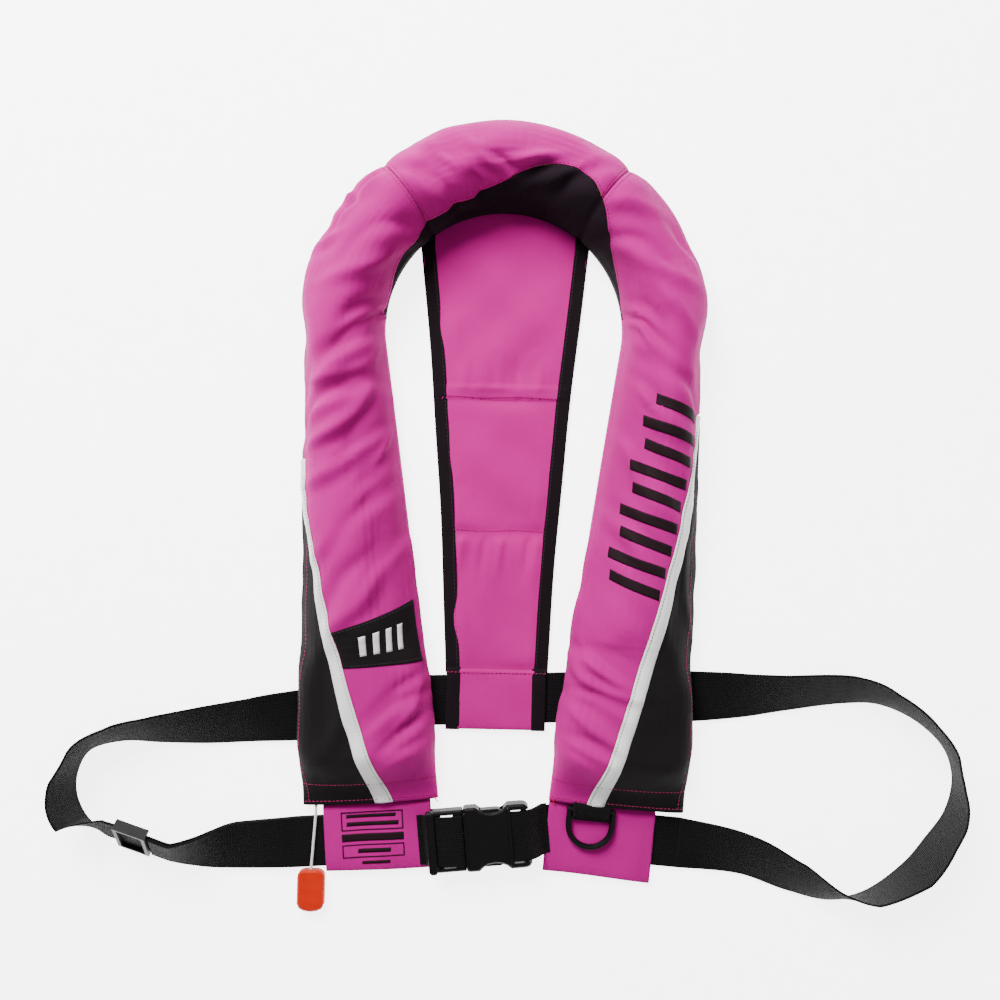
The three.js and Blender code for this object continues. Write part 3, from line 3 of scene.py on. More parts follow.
import bmesh
import bpy
import numpy as np
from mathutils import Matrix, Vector


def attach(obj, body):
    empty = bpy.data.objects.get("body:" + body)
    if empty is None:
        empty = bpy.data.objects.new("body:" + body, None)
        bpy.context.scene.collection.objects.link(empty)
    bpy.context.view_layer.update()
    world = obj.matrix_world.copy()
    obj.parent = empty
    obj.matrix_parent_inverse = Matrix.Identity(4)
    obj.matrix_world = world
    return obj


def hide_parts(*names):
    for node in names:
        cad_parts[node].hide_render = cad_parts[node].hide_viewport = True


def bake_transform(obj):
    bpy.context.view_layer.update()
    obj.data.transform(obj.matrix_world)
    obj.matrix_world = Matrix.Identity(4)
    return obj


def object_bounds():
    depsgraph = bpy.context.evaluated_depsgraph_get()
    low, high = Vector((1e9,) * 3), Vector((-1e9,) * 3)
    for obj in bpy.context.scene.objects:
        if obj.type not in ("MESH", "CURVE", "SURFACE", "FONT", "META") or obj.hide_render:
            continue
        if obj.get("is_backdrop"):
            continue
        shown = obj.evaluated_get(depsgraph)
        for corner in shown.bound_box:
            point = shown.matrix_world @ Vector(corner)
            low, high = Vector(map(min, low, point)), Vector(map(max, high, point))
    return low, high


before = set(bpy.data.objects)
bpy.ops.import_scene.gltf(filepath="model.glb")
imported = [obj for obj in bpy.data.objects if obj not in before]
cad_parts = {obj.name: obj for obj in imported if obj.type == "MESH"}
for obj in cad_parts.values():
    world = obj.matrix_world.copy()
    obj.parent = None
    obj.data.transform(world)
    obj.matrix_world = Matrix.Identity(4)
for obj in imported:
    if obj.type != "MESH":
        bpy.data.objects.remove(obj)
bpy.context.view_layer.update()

# ------------------------------------------------------------------ sizes, in millimetres
# The jacket is drawn in its own frame, with the middle of the neck at x 0; OFFSET moves it to the CAD frame.
OFFSET = np.array([-12.917, 11.795, 0.0])
GAP, FABRIC = 0.3, 1.2
WEB_WIDE, WEB = 40.0, 1.8
COLLAR_R, COLLAR_Y = 125.0, 134.0
LEAN = math.radians(4.26)
HEM_Y = -241.0
HEM_HALF, COLLAR_HALF = 53.5, 31.0
BASE_Z = 5.1
LOBE_H, COLLAR_H, HEM_H, HEM_TAPER = 37.0, 54.0, 7.0, 45.0
LEG_TOP = (COLLAR_R * math.cos(LEAN), COLLAR_Y - COLLAR_R * math.sin(LEAN))
LEG = (LEG_TOP[1] - HEM_Y) / math.cos(LEAN)
SPINE = 2 * LEG + COLLAR_R * (math.pi + 2 * LEAN)
SEAM_S = SPINE / 2 - COLLAR_R * math.radians(38)
NECK_START = COLLAR_R * math.radians(84)
LINING_TOP = BASE_Z - GAP


def smooth(x, a, b):
    t = np.clip((x - a) / (b - a), 0, 1)
    return t * t * (3 - 2 * t)


def lerp(a, b, t):
    return a + (b - a) * t


def leg_x(y):
    return LEG_TOP[0] - (LEG_TOP[1] - y) * math.tan(LEAN)


def leg_s(y):
    return (y - HEM_Y) / math.cos(LEAN)


def from_hem(s):
    return np.minimum(s, SPINE - s)


def spine(s):
    """Middle line of the horseshoe: x, y and the outward direction, for distances s from the left hem."""
    s = np.asarray(s, float)
    d = from_hem(s)
    sign = np.where(s > SPINE / 2, -1.0, 1.0)
    on_leg = d < LEG
    y_leg = HEM_Y + d * math.cos(LEAN)
    turn = math.pi + LEAN - (d - LEG) / COLLAR_R
    x = np.where(on_leg, -(LEG_TOP[0] - (LEG_TOP[1] - y_leg) * math.tan(LEAN)), COLLAR_R * np.cos(turn))
    y = np.where(on_leg, y_leg, COLLAR_Y + COLLAR_R * np.sin(turn))
    out_x = np.where(on_leg, -math.cos(LEAN), np.cos(turn))
    out_y = np.where(on_leg, -math.sin(LEAN), np.sin(turn))
    return x * sign, y, out_x * sign, out_y


def half_width(s):
    return lerp(HEM_HALF, COLLAR_HALF, np.minimum(1, from_hem(s) / LEG) ** 1.2)


def cover_height(s):
    d = from_hem(s)
    full = lerp(LOBE_H, COLLAR_H, smooth(d, 0.55 * LEG, SPINE / 2))
    return lerp(HEM_H, full, smooth(d, 0, HEM_TAPER))


def flat_cover(s, angle, lift=0.0):
    """Point on the unwrinkled cover: angle 0 is the outer edge, pi the inner edge."""
    x, y, ox, oy = spine(s)
    w, h = half_width(s) - FABRIC, cover_height(s) - FABRIC
    nx, nz = np.cos(angle) / w, np.sin(angle) / h
    size = np.hypot(nx, nz)
    across = w * np.cos(angle) + lift * nx / size
    up = h * np.sin(angle) + lift * nz / size
    return np.stack([x + across * ox, y + across * oy, BASE_Z + up], -1)


def angle_at(share):
    return np.arccos(np.clip(share, -1, 1))


def half_angle(s, width):
    return width / 2 / (cover_height(s) * 0.35 + half_width(s) * 0.65)


# ------------------------------------------------------------------ mesh helpers
def link(name, mesh, *materials):
    obj = bpy.data.objects.new(name, mesh)
    bpy.context.scene.collection.objects.link(obj)
    for m in materials:
        mesh.materials.append(m)
    return obj


def make_mesh(name, points, faces, uv=None):
    mesh = bpy.data.meshes.new(name)
    mesh.from_pydata([tuple(p) for p in (np.asarray(points, float) + OFFSET) / 1000], [], faces)
    if uv is not None:
        layer = mesh.uv_layers.new(name="cloth")
        index = np.zeros(len(mesh.loops), int)
        mesh.loops.foreach_get("vertex_index", index)
        layer.data.foreach_set("uv", (np.asarray(uv, float)[index] / 1000).astype(np.float32).ravel())
    mesh.polygons.foreach_set("use_smooth", [True] * len(mesh.polygons))
    mesh.validate()
    mesh.update()
    return mesh


def outward(mesh):
    """Turns a closed mesh's faces outward."""
    volume = 0.0
    for p in mesh.polygons:
        v = [mesh.vertices[i].co for i in p.vertices]
        for k in range(1, len(v) - 1):
            volume += v[0].dot(v[k].cross(v[k + 1]))
    if volume < 0:
        mesh.flip_normals()
    return mesh


def closed_faces(n, m):
    """Faces of a closed sheet: n x m points underneath, then n x m on top."""
    k = n * m
    i, j = np.meshgrid(np.arange(n - 1), np.arange(m - 1), indexing="ij")
    a = (i * m + j).ravel()
    under = np.stack([a, a + 1, a + m + 1, a + m], -1)
    over = np.stack([a, a + m, a + m + 1, a + 1], -1) + k
    rim = [*[r * m for r in range(n)], *[(n - 1) * m + c for c in range(1, m)],
           *[r * m + m - 1 for r in range(n - 2, -1, -1)], *[c for c in range(m - 2, 0, -1)]]
    side = [(here, ahead, ahead + k, here + k) for here, ahead in zip(rim, rim[1:] + rim[:1])]
    return [tuple(map(int, f)) for f in under] + [tuple(map(int, f)) for f in over] + side


def rings(n, m):
    """Side faces of a bar made of n rings of m points each."""
    return [(i * m + j, i * m + (j + 1) % m, (i + 1) * m + (j + 1) % m, (i + 1) * m + j)
            for i in range(n - 1) for j in range(m)]


def layered(name, low, high, material, uv=None):
    """A closed piece of cloth between two grids of points of the same shape (rows, columns, 3)."""
    n, m = low.shape[:2]
    points = np.concatenate([low.reshape(-1, 3), high.reshape(-1, 3)])
    faces = closed_faces(n, m)
    if uv is None:
        du = np.concatenate([[0], np.cumsum(np.linalg.norm(np.diff(high[:, m // 2], axis=0), axis=-1))])
        dv = np.concatenate([[0], np.cumsum(np.linalg.norm(np.diff(high[n // 2], axis=0), axis=-1))])
        uv = np.stack(np.meshgrid(du, dv, indexing="ij"), -1)
    uv = np.concatenate([uv.reshape(-1, 2)] * 2)
    mesh = outward(make_mesh(name, points, faces, uv))
    return link(name, mesh, material)


def normals_of(grid):
    a = np.gradient(grid, axis=0)
    b = np.gradient(grid, axis=1)
    n = np.cross(a, b)
    n /= np.linalg.norm(n, axis=-1, keepdims=True) + 1e-9
    return n if n[..., 2].mean() > 0 else -n


# ------------------------------------------------------------------ materials
def shader(name, colour, rough=0.7, metal=0.0, sheen=0.0, spread=0.1, scale=18.0):
    """A Principled material whose colour and roughness wander a little over the piece."""
    mat = bpy.data.materials.new(name)
    mat.use_nodes = True
    nodes, links = mat.node_tree.nodes, mat.node_tree.links
    base = nodes["Principled BSDF"]
    base.inputs["Metallic"].default_value = metal
    base.inputs["Sheen Weight"].default_value = sheen
    base.inputs["Sheen Roughness"].default_value = 0.45
    base.inputs["Specular IOR Level"].default_value = 0.5 if metal else 0.12 if rough < 0.6 else 0.1
    place = nodes.new("ShaderNodeTexCoord")
    noise = nodes.new("ShaderNodeTexNoise")
    noise.inputs["Scale"].default_value = scale
    noise.inputs["Detail"].default_value = 5.0
    noise.inputs["Roughness"].default_value = 0.6
    links.new(place.outputs["Object"], noise.inputs["Vector"])
    ramp = nodes.new("ShaderNodeValToRGB")
    ramp.color_ramp.elements[0].position = 0.3
    ramp.color_ramp.elements[1].position = 0.7
    ramp.color_ramp.elements[0].color = (*[c * (1 - spread) for c in colour], 1)
    ramp.color_ramp.elements[1].color = (*[min(1, c * (1 + spread)) for c in colour], 1)
    links.new(noise.outputs["Fac"], ramp.inputs["Fac"])
    links.new(ramp.outputs["Color"], base.inputs["Base Color"])
    rough_map = nodes.new("ShaderNodeMapRange")
    rough_map.inputs["To Min"].default_value = max(0.05, rough - 0.07)
    rough_map.inputs["To Max"].default_value = min(1, rough + 0.07)
    links.new(noise.outputs["Fac"], rough_map.inputs["Value"])
    links.new(rough_map.outputs["Result"], base.inputs["Roughness"])
    return mat, nodes, links, base, place


def maths(nodes, links, kind, a, b=None):
    node = nodes.new("ShaderNodeMath")
    node.operation = kind
    for k, value in enumerate((a, b)):
        if value is None:
            continue
        if isinstance(value, (int, float)):
            node.inputs[k].default_value = value
        else:
            links.new(value, node.inputs[k])
    return node.outputs[0]


def woven(name, colour, pitch=0.9, depth=0.25, rough=0.75, sheen=0.25, spread=0.08, crease=0.6):
    """Plain-woven cloth: crossing threads from the piece's own cloth coordinates, with slight creasing."""
    mat, nodes, links, base, place = shader(name, colour, rough, sheen=sheen, spread=spread)
    uv = nodes.new("ShaderNodeUVMap")
    uv.uv_map = "cloth"
    split = nodes.new("ShaderNodeSeparateXYZ")
    links.new(uv.outputs["UV"], split.inputs[0])
    k = 2 * math.pi / (pitch / 1000)
    warp = maths(nodes, links, "SINE", maths(nodes, links, "MULTIPLY", split.outputs["X"], k))
    weft = maths(nodes, links, "SINE", maths(nodes, links, "MULTIPLY", split.outputs["Y"], k))
    weave = maths(nodes, links, "MULTIPLY", warp, weft)
    creases = nodes.new("ShaderNodeTexNoise")
    creases.inputs["Scale"].default_value = 55.0
    creases.inputs["Detail"].default_value = 6.0
    creases.inputs["Distortion"].default_value = 0.4
    links.new(place.outputs["Object"], creases.inputs["Vector"])
    height = maths(nodes, links, "ADD", maths(nodes, links, "MULTIPLY", weave, depth),
                   maths(nodes, links, "MULTIPLY", creases.outputs["Fac"], crease * 3))
    bump = nodes.new("ShaderNodeBump")
    bump.inputs["Strength"].default_value = 0.35
    bump.inputs["Distance"].default_value = 0.0006
    links.new(height, bump.inputs["Height"])
    links.new(bump.outputs["Normal"], base.inputs["Normal"])
    return mat


def webbing_cloth(name, colour, ribs=22):
    """Ribbed webbing: u runs along the strap and v across it."""
    mat, nodes, links, base, _ = shader(name, colour, 0.8, sheen=0.02, spread=0.25, scale=60)
    uv = nodes.new("ShaderNodeUVMap")
    uv.uv_map = "cloth"
    split = nodes.new("ShaderNodeSeparateXYZ")
    links.new(uv.outputs["UV"], split.inputs[0])
    rib_turns = 2 * math.pi * ribs / (WEB_WIDE / 1000)
    pick_turns = 2 * math.pi / 0.0021
    rib = maths(nodes, links, "SINE", maths(nodes, links, "MULTIPLY", split.outputs["Y"], rib_turns))
    pick = maths(nodes, links, "SINE", maths(nodes, links, "MULTIPLY", split.outputs["X"], pick_turns))
    height = maths(nodes, links, "ADD", maths(nodes, links, "MULTIPLY", rib, 0.5),
                   maths(nodes, links, "MULTIPLY", maths(nodes, links, "MULTIPLY", rib, pick), 0.7))
    bump = nodes.new("ShaderNodeBump")
    bump.inputs["Strength"].default_value = 0.8
    bump.inputs["Distance"].default_value = 0.0008
    links.new(height, bump.inputs["Height"])
    links.new(bump.outputs["Normal"], base.inputs["Normal"])
    return mat


def moulded(name, colour, rough=0.45, grain=900.0, depth=0.15, metal=0.0):
    """Moulded plastic or plain metal with a fine grain and slight wear."""
    mat, nodes, links, base, place = shader(name, colour, rough, metal=metal, spread=0.12, scale=70)
    grains = nodes.new("ShaderNodeTexNoise")
    grains.inputs["Scale"].default_value = grain
    grains.inputs["Detail"].default_value = 3.0
    links.new(place.outputs["Object"], grains.inputs["Vector"])
    bump = nodes.new("ShaderNodeBump")
    bump.inputs["Strength"].default_value = depth
    bump.inputs["Distance"].default_value = 0.0004
    links.new(grains.outputs["Fac"], bump.inputs["Height"])
    links.new(bump.outputs["Normal"], base.inputs["Normal"])
    return mat


PINK = woven("pink polyester", (0.34, 0.0006, 0.155), rough=0.88, sheen=0.02)
# Same pink cloth as the cover, with its own tone as painted light: it stands in for how light falls on the back
# panel and the belt loop, deep under the collar.
PINK_PANEL_PAINTED_LIGHT = woven("pink polyester, painted panel light", (0.37, 0.0005, 0.16), rough=0.88, sheen=0.02)
DARK = woven("black side cloth", (0.0055, 0.0042, 0.005), pitch=0.9, rough=0.9, sheen=0.02)
NECK = woven("black neck fleece", (0.0075, 0.0034, 0.0064), pitch=1.4, rough=0.98, sheen=0.01)
BIND = woven("black binding", (0.005, 0.0025, 0.004), pitch=1.2, depth=0.5, rough=0.92, sheen=0.01)
TAPE = woven("silver-grey reflective tape", (0.68, 0.67, 0.66), pitch=0.7, rough=0.4, sheen=0, crease=0.3)
WEBBING = webbing_cloth("black ribbed webbing", (0.0024, 0.0021, 0.0027))
PLASTIC = moulded("black moulded plastic", (0.0022, 0.0016, 0.002), 0.5)
METAL = moulded("black coated ring", (0.003, 0.0025, 0.003), 0.42, depth=0.08)
ORANGE = moulded("orange moulded plastic", (0.42, 0.012, 0.0002), 0.5)
STEEL = moulded("zinc-plated steel", (0.55, 0.56, 0.57), 0.32, metal=1.0, depth=0.1)
FILM = moulded("yellow coated bladder", (0.80, 0.55, 0.05), 0.5)
CORD = moulded("white twisted cord", (0.60, 0.59, 0.56), 0.8, depth=0.4)
PINK_THREAD = moulded("pink thread", (0.30, 0.012, 0.09), 0.7)
DARK_THREAD = moulded("dark thread", (0.03, 0.02, 0.027), 0.7)
GREY_THREAD = moulded("grey thread", (0.12, 0.115, 0.115), 0.7)
BLACK_PRINT = moulded("black print", (0.009, 0.003, 0.005), 0.75)
WHITE_PRINT = moulded("white print", (0.6, 0.58, 0.59), 0.6)
FLOOR = moulded("pale floor", (0.93, 0.93, 0.93), 0.9)
FLOOR.node_tree.nodes["Principled BSDF"].inputs["Emission Color"].default_value = (1, 1, 1, 1)
FLOOR.node_tree.nodes["Principled BSDF"].inputs["Emission Strength"].default_value = 4.5

# ------------------------------------------------------------------ camera, cord
camera = bpy.data.objects.new("camera", bpy.data.cameras.new("camera"))
bpy.context.scene.collection.objects.link(camera)
camera.location = (OFFSET[0] / 1000, OFFSET[1] / 1000, 0.8)
camera.rotation_euler = (0, 0, math.radians(1.25))
camera.data.lens = 36
camera.data.sensor_width = 36
bpy.context.scene.camera = camera

CORD_WIDE = 2.2
CORD_ROUTE = [
    (-125.8, -169, 22.8), (-130.5, -176, 22.9), (-134.5, -184, 22.9), (-137, -191, 21.6), (-139, -204, 13.5),
    (-140.8, -224, 8.6), (-140.8, -235, 6.5), (-140.6, -244, 6.5), (-140.6, -251, 7.1), (-141, -260, 7.4),
    (-141.7, -271, 7.5), (-142.4, -282, 7.5), (-143, -290, 7.3), (-143.4, -296, 6.9)]


def rounded_path(points, steps=8):
    """A centripetal Catmull-Rom line through the points."""
    p = np.asarray(points, float)
    p = np.vstack([2 * p[0] - p[1], p, 2 * p[-1] - p[-2]])
    out = []
    for k in range(1, len(p) - 2):
        out.extend(segment(p[k - 1], p[k], p[k + 1], p[k + 2], np.arange(steps) / steps))
    out.append(p[-2])
    return np.array(out)


def segment(p0, p1, p2, p3, t):
    d0 = max(np.linalg.norm(p1 - p0) ** 0.5, 1e-4)
    d1 = max(np.linalg.norm(p2 - p1) ** 0.5, 1e-4)
    d2 = max(np.linalg.norm(p3 - p2) ** 0.5, 1e-4)
    m1 = ((p1 - p0) / d0 - (p2 - p0) / (d0 + d1) + (p2 - p1) / d1) * d1
    m2 = ((p2 - p1) / d1 - (p3 - p1) / (d1 + d2) + (p3 - p2) / d2) * d1
    t = np.atleast_1d(t)[:, None]
    return (2 * t ** 3 - 3 * t ** 2 + 1) * p1 + (t ** 3 - 2 * t ** 2 + t) * m1 \
        + (3 * t ** 2 - 2 * t ** 3) * p2 + (t ** 3 - t ** 2) * m2


def frames_along(path):
    ahead = np.gradient(path, axis=0)
    ahead /= np.linalg.norm(ahead, axis=1, keepdims=True)
    side = np.cross(ahead, [0.0, 0.0, 1.0])
    side /= np.linalg.norm(side, axis=1, keepdims=True) + 1e-9
    return ahead, side, np.cross(side, ahead)


def twisted_cord(name, path, wide, lay, material):
    """Three strands laid round the path."""
    gaps = np.linalg.norm(np.diff(path, axis=0), axis=1)
    run = np.concatenate([[0], np.cumsum(gaps)])
    steps = int(run[-1] / 0.55)
    at = np.linspace(0, run[-1], steps)
    mid = np.stack([np.interp(at, run, path[:, k]) for k in range(3)], -1)
    _, side, up = frames_along(mid)
    sides = 18
    ring = np.arange(sides) * 2 * math.pi / sides
    r = wide / 2 * (0.9 + 0.13 * np.abs(np.cos(1.5 * (ring[None] + 2 * math.pi * at[:, None] / lay))))
    r[0] *= 0.6
    r[-1] *= 0.6
    points = mid[:, None] + r[..., None] * (np.cos(ring)[None, :, None] * side[:, None]
                                            + np.sin(ring)[None, :, None] * up[:, None])
    faces = rings(steps, sides)
    faces += [tuple(range(sides)), tuple(reversed(range((steps - 1) * sides, steps * sides)))]
    return link(name, outward(make_mesh(name, points.reshape(-1, 3), faces)), material)


def to_metres(points):
    return ((np.asarray(points, float) + OFFSET) / 1000).tolist()


cord_line = rounded_path(CORD_ROUTE, 8)
cord = twisted_cord("pull_cord_twisted", cord_line, CORD_WIDE, 5.5, CORD)

# ------------------------------------------------------------------ the cloth's own folds
# Each fold: side of the jacket (-1 left lobe, 1 right lobe), height y beside the spine, share of the half
# width (1 outer edge, -1 inner edge), heading from the spine in degrees, then length, width and depth in
# millimetres.
FOLDS = [
    (-1, 118, -0.2, 62, 70, 12, -3.0), (-1, 84, 0.2, 70, 80, 12, -2.4), (-1, 60, -0.2, 48, 70, 10, 2.2),
    (-1, 20, 0.3, 60, 60, 12, 2.0), (-1, -10, -0.2, 50, 70, 12, -2.2), (-1, -62, 0.15, 38, 90, 14, -2.0),
    (-1, -162, -0.4, 62, 60, 10, -2.4), (-1, -184, -0.5, 50, 50, 9, -2.0), (1, 100, 0.2, -60, 70, 12, -2.4),
    (1, 70, -0.1, -48, 60, 12, 2.0), (1, 30, 0.1, -42, 80, 14, -2.2), (1, -20, -0.2, -50, 70, 12, -2.0),
    (1, -125, -0.4, -64, 60, 10, -2.6), (1, -145, -0.5, -72, 60, 9, 2.2), (1, -165, -0.45, -60, 60, 10, -2.4),
    (1, -188, -0.5, -70, 50, 9, -2.0),
    (-1, 142, -0.85, 50, 34, 7, -4.2), (-1, 133, -0.75, 38, 28, 6, 3.0), (-1, 128, -0.5, 64, 46, 9, -2.4),
    (-1, 110, 0.35, 60, 60, 13, -1.6), (-1, 92, -0.1, 75, 70, 10, 1.8), (-1, 74, 0.5, 68, 50, 9, -1.7),
    (-1, 56, 0.1, 52, 60, 11, 1.7), (-1, 44, -0.35, 58, 44, 9, -2.2), (-1, 30, -0.7, 45, 34, 7, 1.8),
    (-1, 12, -0.3, 40, 60, 12, -1.5), (-1, -20, 0.1, 34, 80, 13, 1.4), (-1, -48, -0.5, 48, 60, 11, -1.6),
    (-1, -80, -0.1, 40, 60, 12, 1.5), (-1, -150, -0.55, 55, 50, 9, -1.8), (-1, -172, -0.65, 40, 50, 8, 1.6),
    (-1, -195, -0.55, 62, 44, 8, -1.4), (-1, -130, 0.5, 20, 90, 16, -1.2), (-1, -180, 0.4, 28, 60, 14, 1.2),
    (1, 140, -0.7, -55, 34, 7, -3.4), (1, 131, -0.6, -38, 30, 7, 2.6), (1, 125, -0.3, -60, 40, 9, -2.2),
    (1, 148, 0.1, -35, 46, 10, 1.6), (1, 108, -0.3, -66, 50, 11, 1.6), (1, 88, -0.4, -52, 46, 9, -1.8),
    (1, 60, -0.2, -58, 54, 10, 1.5), (1, 42, -0.45, -40, 46, 9, -1.8), (1, 10, -0.2, -35, 70, 13, 1.3),
    (1, -40, -0.4, -45, 54, 12, -1.3), (1, -118, -0.35, -70, 44, 9, -1.8), (1, -132, -0.5, -60, 50, 8, 1.7),
    (1, -150, -0.55, -78, 46, 8, -1.6), (1, -175, -0.6, -55, 46, 9, 1.5), (1, -198, -0.6, -66, 40, 8, -1.5),
    (1, -120, 0.5, -20, 90, 16, -1.2), (1, -60, 0.75, -10, 90, 12, 1.0),
]
# The same on the collar: angle round the neck from its middle (left negative), in degrees.
COLLAR_FOLDS = [
    (-28, -0.15, 60, 60, 12, -3.2), (-20, 0.05, 55, 56, 10, 2.6), (-15, -0.25, 62, 50, 9, -3.0),
    (-8, -0.05, 48, 46, 10, 2.2), (-2, -0.2, 35, 40, 9, -2.6), (8, -0.12, -20, 40, 9, 3.4),
    (13, -0.26, -35, 34, 7, -3.6), (22, -0.2, -50, 44, 9, 2.2), (28, 0.1, -50, 60, 13, -1.6),
    (-45, 0.72, 20, 26, 8, -3.4), (-51, 0.85, 70, 20, 7, 3.0), (-57, 0.8, 15, 24, 7, -3.4),
    (-66, 0.75, 60, 26, 8, 2.0), (-52, -0.3, 40, 60, 12, -1.6), (-72, -0.2, 50, 60, 12, 1.8),
    (-84, -0.5, 55, 46, 10, -2.0), (46, 0.1, -42, 60, 12, 1.6), (58, -0.2, -38, 60, 11, -1.8),
    (72, 0.1, -52, 60, 12, 1.6), (84, -0.45, -45, 46, 10, -1.8), (64, 0.8, -20, 30, 9, -1.6),
]


def fold_list():
    rows = []
    for side, y, share, heading, length, width, depth in FOLDS:
        s = leg_s(y)
        rows.append((s if side < 0 else SPINE - s, share, heading, length, width, depth))
    for turn, share, heading, length, width, depth in COLLAR_FOLDS:
        rows.append((SPINE / 2 + COLLAR_R * math.radians(turn), share, heading, length, width, depth))
    return rows


def folds(s, angle):
    """Depth of the folds in the cover at s and angle."""
    total = np.zeros(np.broadcast(s, angle).shape)
    reach = half_width(s) * 0.65 + cover_height(s) * 0.35
    for s0, share, heading, length, width, depth in fold_list():
        a0 = math.acos(max(-1, min(1, share)))
        along, across = s - s0, (angle - a0) * reach
        c, n = math.cos(math.radians(heading)), math.sin(math.radians(heading))
        u, v = along * c + across * n, -along * n + across * c
        v = v + 0.006 * u * u * np.sign(depth)
        total = total + depth * np.exp(-(u / (0.5 * length)) ** 2) * (
            np.exp(-(v / (0.5 * width)) ** 2) - 0.45 * np.exp(-((v - 0.8 * width) / (0.7 * width)) ** 2))
    return total


def ripple(s, angle, seed, length, height):
    """Slow unevenness made of a few waves whose directions come from a fixed seed."""
    rng = np.random.default_rng(seed)
    across = angle * 40
    total = np.zeros(np.broadcast(s, across).shape)
    for _ in range(9):
        heading, phase = rng.uniform(-1.2, 1.2), rng.uniform(0, 6.28)
        k = 2 * math.pi / (length * rng.uniform(0.7, 1.6))
        total = total + np.sin(k * (s * math.cos(heading) + across * math.sin(heading)) + phase)
    return total * height / 4


SIM_S, SIM_A = 190, 24


def simulated_cover():
    """The cover as one cloth, sewn down along its edges and seams, filled a little from inside. Gives how far
    each point of a coarse grid moved off the plain cover."""
    s = np.linspace(1, SPINE - 1, SIM_S)[:, None] * np.ones((1, SIM_A))
    a = np.linspace(0.02, math.pi - 0.02, SIM_A)[None] * np.ones((SIM_S, 1))
    rest = flat_cover(s, a, FABRIC)
    faces = [(i * SIM_A + j, (i + 1) * SIM_A + j, (i + 1) * SIM_A + j + 1, i * SIM_A + j + 1)
             for i in range(SIM_S - 1) for j in range(SIM_A - 1)]
    mesh = bpy.data.meshes.new("cover_cloth")
    mesh.from_pydata((rest.reshape(-1, 3) / 1000).tolist(), [], faces)
    obj = link("cover_cloth", mesh)
    held = obj.vertex_groups.new(name="held")
    seam = (np.abs(s - SEAM_S) < 3.2) | (np.abs(s - SPINE + SEAM_S) < 3.2)
    edge = (a < 0.15) | (a > math.pi - 0.15) | (from_hem(s) < 12)
    held.add([int(k) for k in np.flatnonzero((seam | edge).ravel())], 1.0, "REPLACE")
    cloth = obj.modifiers.new("cloth", "CLOTH")
    use = cloth.settings
    use.quality = 5
    use.mass = 0.2
    use.vertex_group_mass = "held"
    use.use_pressure = True
    use.uniform_pressure_force = 4.0
    use.shrink_min = -0.055
    use.tension_stiffness = use.compression_stiffness = 14
    use.shear_stiffness = 5
    use.bending_stiffness = 0.25
    use.effector_weights.gravity = 0.0
    cloth.collision_settings.use_collision = False
    scene = bpy.context.scene
    cloth.point_cache.frame_start, cloth.point_cache.frame_end = 1, 20
    for number in range(1, 21):
        scene.frame_set(number)
    result = obj.evaluated_get(bpy.context.evaluated_depsgraph_get()).to_mesh()
    co = np.zeros(len(result.vertices) * 3)
    result.vertices.foreach_get("co", co)
    moved = co.reshape(SIM_S, SIM_A, 3) * 1000 - rest
    scene.frame_set(1)
    bpy.data.objects.remove(obj)
    off = (moved * normals_of(rest)).sum(-1)
    return np.clip(off - np.clip(off, None, 99).mean() * 0.6, -3.2, 3.2)


sim_off = simulated_cover()


def blurred(grid, rounds=1):
    for _ in range(rounds):
        p = np.pad(grid, 1, mode="edge")
        grid = (p[1:-1, 1:-1] * 4 + (p[:-2, 1:-1] + p[2:, 1:-1] + p[1:-1, :-2] + p[1:-1, 2:]) * 2
                + p[:-2, :-2] + p[2:, 2:] + p[:-2, 2:] + p[2:, :-2]) / 16
    return grid


sim_off = blurred(sim_off, 2)


def sim_at(s, angle):
    x = np.clip((s - 1) / (SPINE - 2), 0, 1) * (SIM_S - 1)
    y = np.clip((angle - 0.02) / (math.pi - 0.04), 0, 1) * (SIM_A - 1)
    x, y = np.broadcast_arrays(x, y)
    i, j = np.minimum(x.astype(int), SIM_S - 2), np.minimum(y.astype(int), SIM_A - 2)
    u, v = x - i, y - j
    u, v = u * u * (3 - 2 * u), v * v * (3 - 2 * v)
    return (sim_off[i, j] * (1 - u) * (1 - v) + sim_off[i + 1, j] * u * (1 - v)
            + sim_off[i, j + 1] * (1 - u) * v + sim_off[i + 1, j + 1] * u * v)


# The cloth stands FOLD_LIFT off the plain cover, and no fold goes deeper than DEEPEST_FOLD, which keeps it
# clear of the bladder.
FOLD_STRENGTH, FOLD_LIFT, DEEPEST_FOLD = 1.7, 1.9, 2.3


def wrinkles(s, angle):
    """How far the cover's surface stands off its plain shape, fading out at sewn edges."""
    s, angle = np.broadcast_arrays(s, angle)
    off = sim_at(s, angle) + folds(s, angle) * FOLD_STRENGTH
    off = off + ripple(s, angle, 5, 85, 0.7) + ripple(s, angle, 8, 30, 0.16)
    seam = np.minimum(np.abs(s - SEAM_S), np.abs(s - SPINE + SEAM_S))
    dent = -1.5 * np.exp(-(seam / 3.2) ** 2)
    fade = smooth(angle, 0.0, 0.22) * smooth(math.pi - angle, 0.0, 0.2) * smooth(from_hem(s), 6, 50)
    off = off * (0.12 + 0.88 * fade) * (0.45 + 0.55 * smooth(seam, 0, 14)) + dent * smooth(angle, 0, 0.3)
    off = off + FOLD_LIFT * fade
    return np.where(off < 0, -DEEPEST_FOLD * np.tanh(-off / DEEPEST_FOLD), off)


# Degrees round the neck, spread in degrees and size in millimetres.
BULGES = (
    (-47, 4, 1.9), (-51.5, 2.5, -1.6), (-56, 3.5, 1.8), (-61, 2.5, -1.4), (-75, 9, 1.2), (-92, 5, -1.2),
    (-102, 6, 1.5), (52, 8, 1.4), (66, 4, -0.9), (84, 7, 1.8), (97, 5, -1.2), (110, 7, 1.3), (2, 14, 1.4))


